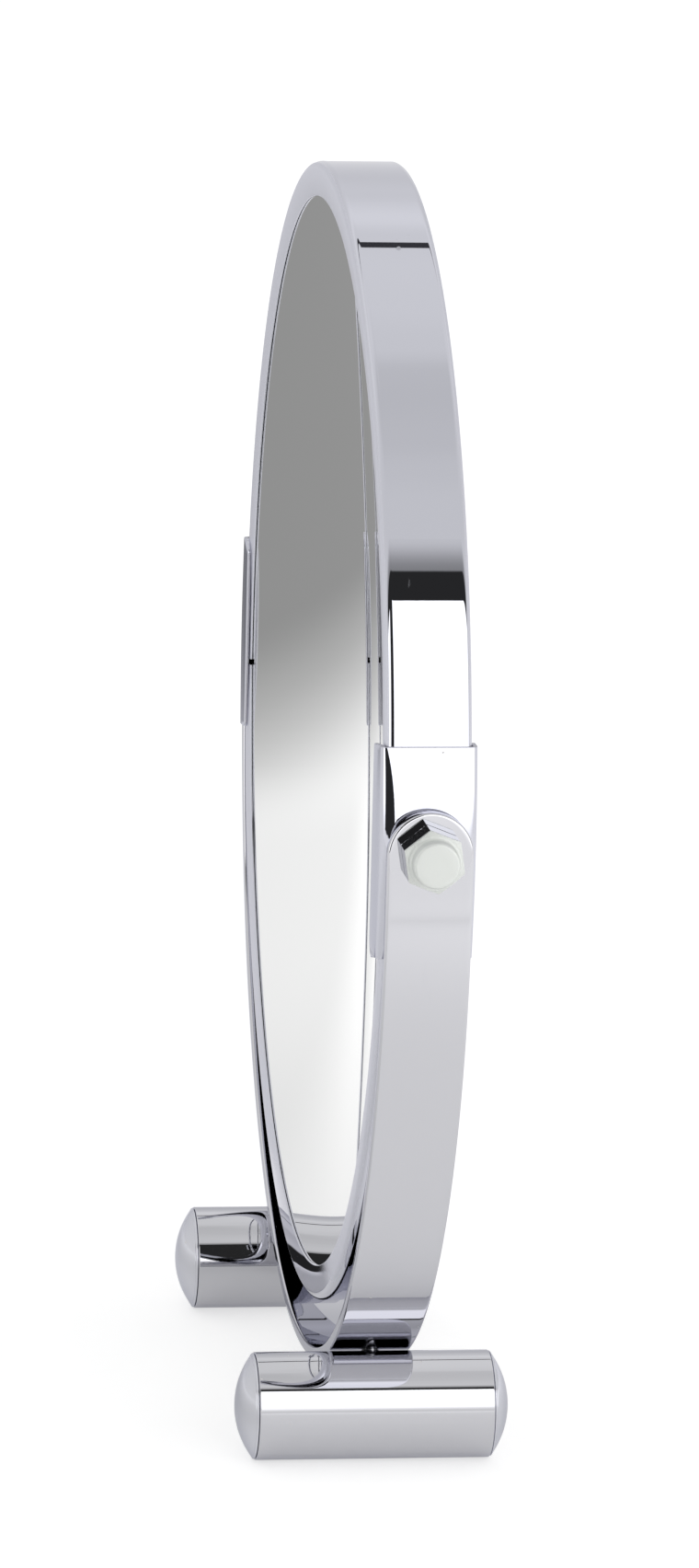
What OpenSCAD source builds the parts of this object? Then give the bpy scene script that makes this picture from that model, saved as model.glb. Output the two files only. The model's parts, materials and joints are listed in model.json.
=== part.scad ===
// Two-sided table mirror. The mirror head tilts between two pivots at the ends of a bent strap,
// and the strap stands on two capped foot tubes.
// +Z is up, the pivot axis runs along X, and the magnifying glass faces -Y.
// The origin is on the table top, under the middle of the stand.

/* [Mirror rim] */
// Outer diameter of the rim hoop
rim_d = 172; // [150:1:210]
// Depth of the rim hoop from bezel face to bezel face
rim_depth = 12.4; // [11.5:0.1:14]
// Thickness of the rolled sheet
rim_sheet = 0.3; // [0.3:0.05:0.6]
// Radial width of the flat bezel on each face
bezel_w = 5.3; // [5:0.05:8]
// Outside radius of the two bends of the hoop
rim_bend = 1.2; // [0.9:0.1:1.6]
// Gap at the butt joint of the hoop
butt_gap = 1; // [0.4:0.1:1.5]
// Distance of the butt joint below the pivot axis
butt_drop = 5.3; // [4.5:0.1:8]

/* [Glass] */
// Thickness of each glass
glass_t = 2; // [1.8:0.1:2.2]
// Radius of curvature of the magnifying glass
magnifier_r = 720; // [680:10:1500]
// Radial room between the edge of the glass and the web of the hoop
glass_room = 1.7; // [1.6:0.05:2]
// Clearance of the pad to the glass on both sides
pad_fit = 0.1; // [0.05:0.05:0.3]

/* [Pivot clips] */
// Length of a clip along the rim
clip_len = 30.5; // [22:0.5:40]
// Distance of the middle of a clip below the pivot axis
clip_drop = 0.5; // [0:0.1:1]
// Thickness of the clip sheet
clip_sheet = 0.6; // [0.5:0.05:0.9]
// Reach of the clip flanges over the bezel, from the back of the clip
clip_reach = 5.4; // [4.5:0.1:6]
// Clearance between clip and rim
clip_fit = 0.1; // [0.05:0.01:0.2]
// Radius of the free corners of the clip flanges
clip_corner = 2; // [1:0.1:2.5]

/* [Pivot hardware] */
// Diameter of the pivot stud
stud_d = 5; // [4:0.1:5.4]
// Length of the stud plate along the rim
plate_len = 14; // [10:0.5:18]
// Width of the stud plate
plate_w = 9; // [8.5:0.1:9.2]
// Thickness of the stud plate at its middle
plate_t = 1.15; // [1:0.05:1.2]
// Clearance between the back of the stud plate and the rim
plate_fit = 0.03; // [0.02:0.01:0.1]
// Clearance of the stud in the rim and clip holes
stud_room = 0.1; // [0.05:0.01:0.2]
// Running clearance between stud and bush, on the radius
stud_fit = 0.05; // [0.02:0.01:0.1]
// Diameter of the bush flange
bush_d = 10; // [8.5:0.1:11]
// Thickness of the bush flange
bush_t = 0.8; // [0.6:0.05:1.5]
// Wall of the bush sleeve
bush_wall = 1; // [0.8:0.05:1.2]
// Clearance of the bush sleeve in the strap hole, on the radius
bush_fit = 0.03; // [0.02:0.01:0.05]
// Running gap on each side of the strap end
run_gap = 0.1; // [0.05:0.01:0.2]
// Width across flats of the cap nut
nut_af = 8; // [8:0.1:9]
// Height of the hexagon of the cap nut
nut_h = 4.4; // [4:0.1:6]
// Diameter of the cap on the nut
nut_cap_d = 6.6; // [6.4:0.1:7]
// Height of the cap on the nut
nut_cap_h = 2.4; // [2:0.1:4]
// Edge radius of the cap on the nut
nut_cap_edge = 0.5; // [0.2:0.05:0.8]
// Angle of the hexagon's chamfer
nut_chamfer = 30; // [20:1:35]
// Turn of the hexagon about the pivot axis
nut_turn = 8.7; // [0:0.1:60]
// Thread engagement of the stud in the nut
thread_len = 4.8; // [3.5:0.1:5]
// Room between the end of the stud and the bottom of the nut's hole
thread_room = 0.4; // [0.2:0.1:0.6]
// Thread clearance in the nut, on the radius
thread_fit = 0.02; // [0.01:0.01:0.05]

/* [Stand strap] */
// Width of the strap
strap_w = 12.3; // [11:0.1:16]
// Thickness of the strap
strap_t = 1.8; // [1.5:0.1:3]
// Edge radius of the strap
strap_edge = 0.35; // [0.1:0.05:0.5]
// Height of the pivot axis above the centre of the strap's arc
strap_rise = 5.6; // [5.5:0.1:12]

/* [Feet] */
// Diameter of the foot tubes
foot_d = 16; // [14:0.5:20]
// Length of a foot tube without its caps
foot_len = 35; // [28:0.5:60]
// Wall of the foot tubes
foot_wall = 1; // [0.8:0.1:1.5]
// Distance between the axes of the foot tubes
foot_span = 84; // [70:1:110]
// Height of the weld between strap and foot tube
weld_h = 0.2; // [0.15:0.05:0.4]
// Width of the weld
weld_d = 3.2; // [2:0.1:5]
// Clearance of the weld to strap and tube
weld_fit = 0.02; // [0.01:0.01:0.03]

/* [Foot caps] */
// Height of the straight lip of a cap
cap_lip = 0.5; // [0.3:0.1:1.5]
// Height of the dome of a cap
cap_dome = 2.4; // [1.5:0.1:4]
// Radius where lip and dome meet
cap_edge = 0.4; // [0.2:0.1:0.6]
// Step from the tube in to the lip, on the radius
cap_step = 0.15; // [0.05:0.05:0.3]
// Length of the split plug inside the tube
plug_len = 7; // [5:0.5:12]
// Wall of the plug
plug_wall = 1.2; // [1:0.1:2]
// Width of the slots that split the plug
plug_slot = 1.6; // [1:0.1:2.5]
// Clearance of the plug in the tube, on the radius
plug_fit = 0.05; // [0.03:0.01:0.1]

/* [Hidden] */

// Sides along X, and ends of the foot tubes along Y
right = 1;
left = -1;
front = -1;
back = 1;

// Smoothness: pieces of a small arc in a profile, of the glass curve, and sides of a round piece
arc_steps = 6;
glass_steps = 20;
round_fn = 96;
small_fn = 48;
// Pieces of the small arc where a cap's lip and dome meet
cap_edge_steps = 3;
// Overlap of a cutting shape past the face that it cuts
over = 1;
// Angle that a clip's rolled channel is swept beyond the clip's ends
clip_spare = 4;
// Share of the sheet's thickness that the free edge of a channel is rounded by
lip_share = 1 / 3;

// Rim, from the outside in
rim_r = rim_d / 2;
web_in_r = rim_r - rim_sheet;
opening_r = rim_r - bezel_w;
glass_r = web_in_r - glass_room;
channel_half = rim_depth / 2 - rim_sheet;
butt_angle = 180 + asin(butt_drop / rim_r);
butt_half_angle = asin(butt_gap / 2 / rim_r);

// Stack along the pivot axis, from the rim outwards
clip_in_r = rim_r + clip_fit;
clip_out_r = clip_in_r + clip_sheet;
clip_half_w = rim_depth / 2 + clip_fit + clip_sheet;
clip_bend = rim_bend + clip_fit + clip_sheet;
clip_flange_x = clip_out_r - clip_reach;
bush_x = clip_out_r + run_gap;
strap_in_x = bush_x + bush_t;
strap_out_x = strap_in_x + strap_t;
nut_x = strap_out_x + run_gap;
stud_end_x = nut_x + thread_len;

// Radii of the pivot
stud_r = stud_d / 2;
hole_r = stud_r + stud_room;
bush_in_r = stud_r + stud_fit;
bush_out_r = bush_in_r + bush_wall;
strap_hole_r = bush_out_r + bush_fit;
plate_out_r = web_in_r - plate_fit;

// The strap's arc is centred strap_rise below the pivot, and its outside rests on the two welds
arc_in_r = strap_in_x;
arc_out_r = strap_out_x;
foot_r = foot_d / 2;
foot_x = foot_span / 2;
contact_r = arc_out_r + weld_h + foot_r;
arc_z = foot_r + sqrt(contact_r * contact_r - foot_x * foot_x);
pivot_z = arc_z + strap_rise;
contact_angle = asin(foot_x / contact_r);

// Cap profile
lip_r = foot_r - cap_step;
plug_r = foot_r - foot_wall - plug_fit;
dome_run = lip_r - cap_edge;
dome_r = (dome_run * dome_run + cap_dome * cap_dome) / (2 * cap_dome);

// Points of a round arc about (cx, cy), from angle a0 to a1
function arc_points(cx, cy, r, a0, a1, n = arc_steps) =
    [for (i = [0:n]) let (a = a0 + (a1 - a0) * i / n) [cx + r * cos(a), cy + r * sin(a)]];

// Outline of a rolled channel: radius along x, depth along y, open towards the axis
function channel_points(r_in, r_out, half, sheet, bend) = concat(
    arc_points(r_in + lip_share * sheet, -half + lip_share * sheet, lip_share * sheet, 180, 270),
    arc_points(r_out - bend, -half + bend, bend, 270, 360),
    arc_points(r_out - bend, half - bend, bend, 0, 90),
    arc_points(r_in + lip_share * sheet, half - lip_share * sheet, lip_share * sheet, 90, 180),
    [[r_in, half - sheet]],
    arc_points(r_out - bend, half - bend, bend - sheet, 90, 0),
    arc_points(r_out - bend, -half + bend, bend - sheet, 0, -90),
    [[r_in, -half + sheet]]
);

// Outline of a strip of width w and thickness t with rounded edges, from x0 outwards
function strip_points(x0, t, w, r) = concat(
    arc_points(x0 + r, -w / 2 + r, r, 180, 270),
    arc_points(x0 + t - r, -w / 2 + r, r, 270, 360),
    arc_points(x0 + t - r, w / 2 - r, r, 0, 90),
    arc_points(x0 + r, w / 2 - r, r, 90, 180)
);

// Depth of the bent glass below its edge, at radius x
function glass_drop(x) =
    sqrt(magnifier_r * magnifier_r - x * x) - sqrt(magnifier_r * magnifier_r - glass_r * glass_r);

// One side of the bent glass: the front face is at depth 0, the rear face at depth glass_t
function glass_curve(depth, inwards) =
    [for (i = [0:glass_steps])
        let (k = inwards ? glass_steps - i : i, x = glass_r * k / glass_steps)
        [x, channel_half - depth - glass_drop(x)]];

// Turns a shape made about Z so that its axis lies along Y through the pivot; its +Z side faces the front
module about_pivot() {
    translate([0, 0, pivot_z]) rotate([90, 0, 0]) children();
}

// Lays a shape made along Z on the pivot axis, pointing outwards at the chosen side
module on_axis(side) {
    translate([0, 0, pivot_z]) rotate([0, side * 90, 0]) children();
}

// Hole along the pivot axis between two distances from the middle
module axis_hole(side, r, x0, x1) {
    on_axis(side) translate([0, 0, x0]) cylinder(h = x1 - x0, r = r, $fn = small_fn);
}

// Rolled chrome hoop, open at its butt joint, with a stud hole on each side
module rim_hoop() {
    color("gainsboro")
    difference() {
        about_pivot()
        rotate([0, 0, butt_angle + butt_half_angle])
        rotate_extrude(angle = 360 - 2 * butt_half_angle, $fn = 2 * round_fn)
        polygon(channel_points(opening_r, rim_r, rim_depth / 2, rim_sheet, rim_bend));
        axis_hole(right, hole_r, web_in_r - over, rim_r + over);
        axis_hole(left, hole_r, web_in_r - over, rim_r + over);
    }
}

// Bent glass, hollow towards the front
module magnifying_glass() {
    color("lightsteelblue")
    about_pivot()
    rotate_extrude($fn = round_fn)
    polygon(concat(glass_curve(0, false), glass_curve(glass_t, true)));
}

// Flat glass at the back
module plain_glass() {
    color("lightsteelblue")
    about_pivot()
    translate([0, 0, -channel_half]) cylinder(h = glass_t, r = glass_r, $fn = round_fn);
}

// Foam pad that fills the space between the two glasses
module backing_pad() {
    color("dimgray")
    about_pivot()
    rotate_extrude($fn = round_fn)
    polygon(concat(
        [[0, glass_t + pad_fit - channel_half], [glass_r, glass_t + pad_fit - channel_half]],
        glass_curve(glass_t + pad_fit, true)
    ));
}

// Outline of a clip seen along Y: straight ends, straight free edge with round corners
module clip_outline() {
    top = clip_len / 2 - clip_drop;
    bottom = -clip_len / 2 - clip_drop;
    polygon(concat(
        [[clip_out_r + over, bottom], [clip_out_r + over, top]],
        arc_points(clip_flange_x + clip_corner, top - clip_corner, clip_corner, 90, 180),
        arc_points(clip_flange_x + clip_corner, bottom + clip_corner, clip_corner, 180, 270)
    ));
}

// Pressed clip that straddles the rim and carries the stud
module pivot_clip(side) {
    inner_r = clip_flange_x - over;
    sweep = 2 * asin((clip_len / 2 + clip_drop) / clip_flange_x) + clip_spare;
    color("silver")
    difference() {
        translate([0, 0, pivot_z])
        intersection() {
            rotate([90, 0, 0])
            rotate([0, 0, side == right ? -sweep / 2 : 180 - sweep / 2])
            rotate_extrude(angle = sweep, $fn = 2 * round_fn)
            polygon(channel_points(inner_r, clip_out_r, clip_half_w, clip_sheet, clip_bend));
            rotate([90, 0, 0])
            translate([0, 0, -clip_half_w - over])
            linear_extrude(2 * (clip_half_w + over))
            if (side == right) clip_outline();
            else mirror([1, 0, 0]) clip_outline();
        }
        axis_hole(side, hole_r, clip_flange_x, clip_out_r + over);
    }
}

// Stud with a flat plate head that lies inside the rim channel and cannot turn there
module pivot_stud(side) {
    plate_x = web_in_r - plate_t;
    color("darkgray")
    union() {
        intersection() {
            translate([side * (plate_x + plate_t), 0, pivot_z])
            cube([2 * plate_t, plate_w, plate_len], center = true);
            about_pivot() cylinder(h = rim_depth, r = plate_out_r, center = true, $fn = 2 * round_fn);
        }
        on_axis(side) translate([0, 0, plate_x + plate_t / 2])
        cylinder(h = stud_end_x - plate_x - plate_t / 2, r = stud_r, $fn = small_fn);
    }
}

// Low cap nut: chamfered hexagon, round cap with a flat end, blind threaded hole
module cap_nut(side) {
    corner_r = nut_af / 2 / cos(30);
    chamfer_r = nut_af / 2;
    flat_z = nut_h - (corner_r - chamfer_r) * tan(nut_chamfer);
    bore_h = thread_len + thread_room;
    color("silver")
    on_axis(side) translate([0, 0, nut_x]) rotate([0, 0, nut_turn])
    difference() {
        union() {
            intersection() {
                cylinder(h = nut_h, r = corner_r, $fn = 6);
                rotate_extrude($fn = round_fn)
                polygon([[0, 0], [corner_r + over, 0],
                    [corner_r + over, flat_z - over * tan(nut_chamfer)],
                    [chamfer_r, nut_h], [0, nut_h]]);
            }
            rotate_extrude($fn = small_fn)
            polygon(concat(
                [[0, nut_h / 2], [nut_cap_d / 2, nut_h / 2]],
                arc_points(nut_cap_d / 2 - nut_cap_edge, nut_h + nut_cap_h - nut_cap_edge, nut_cap_edge, 0, 90),
                [[0, nut_h + nut_cap_h]]
            ));
        }
        translate([0, 0, -over]) cylinder(h = bore_h + over, r = stud_r + thread_fit, $fn = small_fn);
    }
}

// Flanged bush: its sleeve lines the strap hole, its flange keeps the strap off the clip
module pivot_bush(side) {
    color("whitesmoke")
    on_axis(side) translate([0, 0, bush_x])
    difference() {
        union() {
            cylinder(h = bush_t, r = bush_d / 2, $fn = small_fn);
            cylinder(h = bush_t + strap_t, r = bush_out_r, $fn = small_fn);
        }
        translate([0, 0, -over]) cylinder(h = bush_t + strap_t + 2 * over, r = bush_in_r, $fn = small_fn);
    }
}

// Straight end of the strap, rounded about the pivot
module strap_end(side) {
    intersection() {
        translate([0, 0, arc_z]) linear_extrude(strap_rise + strap_w)
        if (side == right) polygon(strip_points(strap_in_x, strap_t, strap_w, strap_edge));
        else mirror([1, 0, 0]) polygon(strip_points(strap_in_x, strap_t, strap_w, strap_edge));
        union() {
            axis_hole(side, strap_w / 2, strap_in_x - over, strap_out_x + over);
            translate([side * (strap_in_x + strap_t / 2), 0, arc_z + strap_rise / 2])
            cube([strap_t + over, strap_w + over, strap_rise], center = true);
        }
    }
}

// Strap bent in a half circle under the mirror, with a hole for the bush at each end
module stand_strap() {
    color("gainsboro")
    difference() {
        union() {
            translate([0, 0, arc_z]) rotate([90, 0, 0]) rotate([0, 0, 180])
            rotate_extrude(angle = 180, $fn = 2 * round_fn)
            polygon(strip_points(arc_in_r, strap_t, strap_w, strap_edge));
            strap_end(right);
            strap_end(left);
        }
        axis_hole(right, strap_hole_r, strap_in_x - over, strap_out_x + over);
        axis_hole(left, strap_hole_r, strap_in_x - over, strap_out_x + over);
    }
}

// Open tube along Y
module foot_tube(side) {
    color("gainsboro")
    translate([side * foot_x, 0, foot_r]) rotate([90, 0, 0])
    difference() {
        cylinder(h = foot_len, r = foot_r, center = true, $fn = round_fn);
        cylinder(h = foot_len + over, r = foot_r - foot_wall, center = true, $fn = round_fn);
    }
}

// Domed cap with a hollow plug, split by two crossed slots so that it springs into the tube
module foot_cap(side, end) {
    dome_z = cap_lip + cap_dome - dome_r;
    rise = asin(dome_run / dome_r);
    slot_turn = 45;
    color("lightgray")
    translate([side * foot_x, end * foot_len / 2, foot_r]) rotate([-end * 90, 0, 0])
    difference() {
        union() {
            rotate_extrude($fn = round_fn)
            polygon(concat(
                [[0, 0], [lip_r, 0]],
                arc_points(lip_r - cap_edge, cap_lip, cap_edge, 0, 90 - rise, cap_edge_steps),
                arc_points(0, dome_z, dome_r, 90 - rise, 90, 2 * arc_steps)
            ));
            translate([0, 0, -plug_len]) cylinder(h = plug_len, r = plug_r, $fn = round_fn);
        }
        translate([0, 0, -plug_len - over]) cylinder(h = plug_len + over, r = plug_r - plug_wall, $fn = small_fn);
        for (turn = [slot_turn, slot_turn + 90])
            rotate([0, 0, turn]) translate([-foot_d / 2, -plug_slot / 2, -plug_len - over])
            cube([foot_d, plug_slot, plug_len]);
    }
}

// Small resistance weld that fills the narrow gap between strap and tube
module foot_weld(side) {
    tube_half = asin(weld_d / 2 / foot_r);
    strap_half = asin(weld_d / 2 / arc_out_r);
    color("darkgray")
    translate([0, 0, arc_z]) rotate([0, -side * contact_angle, 0])
    rotate([90, 0, 0]) translate([0, 0, -weld_d / 2])
    linear_extrude(weld_d)
    polygon(concat(
        arc_points(0, 0, arc_out_r + weld_fit, 270 - strap_half, 270 + strap_half),
        arc_points(0, -contact_r, foot_r + weld_fit, 90 - tube_half, 90 + tube_half)
    ));
}

rim_hoop();
magnifying_glass();
plain_glass();
backing_pad();
pivot_clip(right);  // pivot_clip_right
pivot_clip(left);  // pivot_clip_left
pivot_stud(right);  // pivot_stud_right
pivot_stud(left);  // pivot_stud_left
cap_nut(right);  // cap_nut_right
cap_nut(left);  // cap_nut_left
pivot_bush(right);  // pivot_bush_right
pivot_bush(left);  // pivot_bush_left
stand_strap();
foot_tube(right);  // foot_tube_right
foot_tube(left);  // foot_tube_left
foot_cap(right, front);  // foot_cap_front_right
foot_cap(right, back);  // foot_cap_back_right
foot_cap(left, front);  // foot_cap_front_left
foot_cap(left, back);  // foot_cap_back_left
foot_weld(right);  // foot_weld_right
foot_weld(left);  // foot_weld_left
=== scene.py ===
"""Looks of a two-sided tilting table mirror with a bent strap stand on two capped foot tubes.

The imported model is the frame: +Z is up, the pivot axis runs along X, the magnifying glass faces -Y and
the origin lies on the table under the middle of the stand. Lengths are in metres.
"""
import json
import logging
import math
from dataclasses import dataclass, field
from enum import Enum

import bmesh
import bpy
import numpy as np
from mathutils import Matrix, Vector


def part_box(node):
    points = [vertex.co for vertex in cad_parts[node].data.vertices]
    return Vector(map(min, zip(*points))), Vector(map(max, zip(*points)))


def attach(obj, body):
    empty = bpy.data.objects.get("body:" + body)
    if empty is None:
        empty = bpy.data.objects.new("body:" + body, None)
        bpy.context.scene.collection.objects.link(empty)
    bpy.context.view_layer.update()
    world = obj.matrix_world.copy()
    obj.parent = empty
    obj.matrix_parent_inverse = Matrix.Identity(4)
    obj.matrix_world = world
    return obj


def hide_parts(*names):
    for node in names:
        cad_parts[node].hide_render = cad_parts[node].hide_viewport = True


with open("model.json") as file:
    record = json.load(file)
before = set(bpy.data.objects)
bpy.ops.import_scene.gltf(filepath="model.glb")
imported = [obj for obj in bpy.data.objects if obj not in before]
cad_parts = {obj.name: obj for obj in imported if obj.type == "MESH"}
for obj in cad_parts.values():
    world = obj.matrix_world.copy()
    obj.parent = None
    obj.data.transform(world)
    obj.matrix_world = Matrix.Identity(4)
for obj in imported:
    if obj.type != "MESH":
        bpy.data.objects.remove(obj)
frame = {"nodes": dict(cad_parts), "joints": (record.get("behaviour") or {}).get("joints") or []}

LOG = logging.getLogger("table_mirror")
MM = 0.001
WELD_DISTANCE = 1e-7
EDGE_FACETS = 3
EDGE_ANGLE = 50
VALUE_SOCKET = "NodeSocketFloat"
WHITE = (1.0, 1.0, 1.0, 1.0)

Array = np.ndarray


class Position(Enum):
    """A named place on the mirror."""

    @property
    def word(self) -> str:
        """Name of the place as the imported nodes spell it."""
        return self.name.lower()


class Side(Position):
    """Sides of the mirror along the pivot axis; the value is the sign of X."""

    RIGHT = 1
    LEFT = -1


class End(Position):
    """Ends of a foot tube; the value is the sign of Y."""

    FRONT = -1
    BACK = 1


class Body(Enum):
    """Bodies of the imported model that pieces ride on."""

    HEAD = "mirror_head"
    STAND = "stand"


def box_of(node: str) -> tuple[Array, Array]:
    """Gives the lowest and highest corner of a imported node.

    Args:
        node: Name of the node.

    Returns:
        The two corners as arrays.
    """
    low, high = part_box(node)
    return np.array(low), np.array(high)


def grid_faces(rows: int, columns: int, wrap_rows: bool, wrap_columns: bool) -> Array:
    """Quads that join neighbours on a grid of points stored row by row.

    Args:
        rows: Number of rows.
        columns: Number of points in a row.
        wrap_rows: Whether the last row joins the first.
        wrap_columns: Whether a row's last point joins its first.

    Returns:
        Point numbers of the quads, shape (n, 4).
    """
    row = np.arange(rows if wrap_rows else rows - 1)[:, None]
    column = np.arange(columns if wrap_columns else columns - 1)[None, :]
    next_row = (row + 1) % rows
    next_column = (column + 1) % columns
    corners = [
        row * columns + column,
        row * columns + next_column,
        next_row * columns + next_column,
        next_row * columns + column,
    ]
    return np.stack([c + 0 * row + 0 * column for c in corners], axis=-1).reshape(-1, 4)


def paired_cap(first: int, count: int) -> Array:
    """Quads that close a loop whose point i lies opposite its point count - 1 - i.

    Args:
        first: Number of the loop's first point.
        count: Number of points in the loop.

    Returns:
        Point numbers of the quads, shape (count / 2 - 1, 4).
    """
    i = np.arange(count // 2 - 1)
    return first + np.stack([i, i + 1, count - 2 - i, count - 1 - i], axis=1)


@dataclass
class Piece:
    """One closed mesh of the dressed model.

    Attributes:
        name: Name of the piece.
        points: Grid of points, shape (rows, columns, 3); each row is a closed or open section.
        wrap_rows: Whether the rows close into a ring.
        wrap_columns: Whether each row is a closed loop.
        capped: Whether the first and last rows are closed by quads between opposite points.
        crease: Angle in degrees above which an edge is drawn sharp.
    """

    name: str
    points: Array
    wrap_rows: bool = False
    wrap_columns: bool = False
    capped: bool = False
    crease: float = 32.0

    def build(self) -> bpy.types.Object:
        """Makes the object: merged at poles and seams, with faces pointing outwards.

        Returns:
            The new object at the origin, with its place in its mesh.
        """
        rows, columns, _ = self.points.shape
        faces = [grid_faces(rows, columns, self.wrap_rows, self.wrap_columns)]
        if self.capped:
            faces.append(paired_cap(0, columns))
            faces.append(paired_cap((rows - 1) * columns, columns)[:, ::-1])
        quads = np.concatenate(faces).astype(np.int32)
        mesh = bpy.data.meshes.new(self.name)
        mesh.vertices.add(rows * columns)
        mesh.vertices.foreach_set("co", self.points.astype(np.float32).ravel())
        mesh.loops.add(quads.size)
        mesh.loops.foreach_set("vertex_index", quads.ravel())
        mesh.polygons.add(len(quads))
        mesh.polygons.foreach_set("loop_start", np.arange(len(quads), dtype=np.int32) * 4)
        mesh.update(calc_edges=True)
        shell = bmesh.new()
        shell.from_mesh(mesh)
        bmesh.ops.remove_doubles(shell, verts=shell.verts, dist=WELD_DISTANCE)
        bmesh.ops.recalc_face_normals(shell, faces=shell.faces)
        shell.to_mesh(mesh)
        shell.free()
        mesh.polygons.foreach_set("use_smooth", np.ones(len(mesh.polygons), dtype=bool))
        mesh.set_sharp_from_angle(angle=math.radians(self.crease))
        made = bpy.data.objects.new(self.name, mesh)
        bpy.context.scene.collection.objects.link(made)
        return made


def round_edges(piece: bpy.types.Object, width: float) -> None:
    """Rounds the sharp edges of a piece with a live Bevel modifier.

    Args:
        piece: The piece.
        width: Width of the rounding.
    """
    bevel = piece.modifiers.new("rounded_edges", "BEVEL")
    bevel.width = width
    bevel.segments = EDGE_FACETS
    bevel.limit_method = "ANGLE"
    bevel.angle_limit = math.radians(EDGE_ANGLE)
    bevel.use_clamp_overlap = True


def supported(profile: Array, closed: bool = True, gap: float = 0.05 * MM) -> Array:
    """Adds a point close to both ends of every long stretch, so that shading keeps flat faces flat.

    A stretch from p to q gets the points p + gap * d and q - gap * d, with d its direction.

    Args:
        profile: Points, shape (n, 2).
        closed: Whether the last point joins the first.
        gap: Distance of the added points from the ends.

    Returns:
        The longer profile, shape (m, 2).
    """
    following = np.roll(profile, -1, axis=0)
    step = following - profile
    length = np.linalg.norm(step, axis=1)
    ahead = step / np.maximum(length, WELD_DISTANCE)[:, None]
    points = np.stack([profile, profile + gap * ahead, following - gap * ahead], axis=1)
    kept = np.repeat((length > 3 * gap)[:, None], 3, axis=1)
    kept[:, 0] = True
    if not closed:
        kept[-1, 1:] = False
    return points[kept]


def sphere_radius(reach: float, rise: float) -> float:
    """Radius of a sphere from a cap cut off it: (reach^2 + rise^2) / (2 rise).

    Args:
        reach: Radius of the cap's rim.
        rise: Height of the cap.

    Returns:
        The sphere's radius.
    """
    return (reach ** 2 + rise ** 2) / (2 * rise)


def revolve_y(profile: Array, x: float, z: float, turns: int) -> Array:
    """Turns a profile about an axis along Y: (x + r cos a, y, z + r sin a) for each point (r, y).

    Args:
        profile: Points (radius, y), shape (n, 2).
        x: X of the axis.
        z: Z of the axis.
        turns: Number of steps round the axis.

    Returns:
        Points of shape (turns, n, 3).
    """
    turn = np.linspace(0, 2 * np.pi, turns, endpoint=False)[:, None]
    radius, along = profile[None, :, 0], profile[None, :, 1]
    return np.stack([x + radius * np.cos(turn), along + 0 * turn, z + radius * np.sin(turn)], axis=-1)


def revolve_x(profile: Array, z: float, turns: int) -> Array:
    """Turns a profile about an axis along X: (x, r cos a, z + r sin a) for each point (r, x).

    Args:
        profile: Points (radius, x), shape (n, 2), or (turns, n, 2) where the profile changes with a.
        z: Z of the axis.
        turns: Number of steps round the axis.

    Returns:
        Points of shape (turns, n, 3).
    """
    turn = np.linspace(0, 2 * np.pi, turns, endpoint=False)[:, None]
    radius, along = profile[..., 0], profile[..., 1]
    return np.stack([along + 0 * turn, radius * np.cos(turn), z + radius * np.sin(turn)], axis=-1)


@dataclass
class Bend:
    """Shape of a sheet's bend, told by its radius while the sheet's normal turns.

    Attributes:
        tight: Radius next to the flange, shape (m,).
        loose: Radius next to the web, shape (m,).
        change: Turn of the normal from the web's at which the radius changes, in degrees.
        blend: Turn over which it changes, in degrees.
        steps: Number of steps round the bend.
    """

    tight: Array
    loose: Array
    change: float = 25.0
    blend: float = 8.0
    steps: int = 14

    def path(self) -> tuple[Array, Array]:
        """Adds up radius * direction while the normal turns from the flange's to the web's.

        Returns:
            Points (along the flange, across it) that start at (0, 0), shape (m, steps + 1, 2), and the
            turn of the normal at each point, from -90 to 0 degrees.
        """
        turn = np.linspace(-90.0, 0.0, self.steps + 1)
        middle = np.radians((turn[1:] + turn[:-1]) / 2)
        share = np.clip((np.degrees(middle) + self.change) / self.blend + 0.5, 0, 1)
        radius = self.tight[:, None] + (self.loose - self.tight)[:, None] * share[None]
        ahead = np.stack([-np.sin(middle), np.cos(middle)], axis=1)
        step = radius[..., None] * ahead[None] * math.radians(90 / self.steps)
        start = np.zeros((len(self.tight), 1, 2))
        return np.concatenate([start, np.cumsum(step, axis=1)], axis=1), turn


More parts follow.
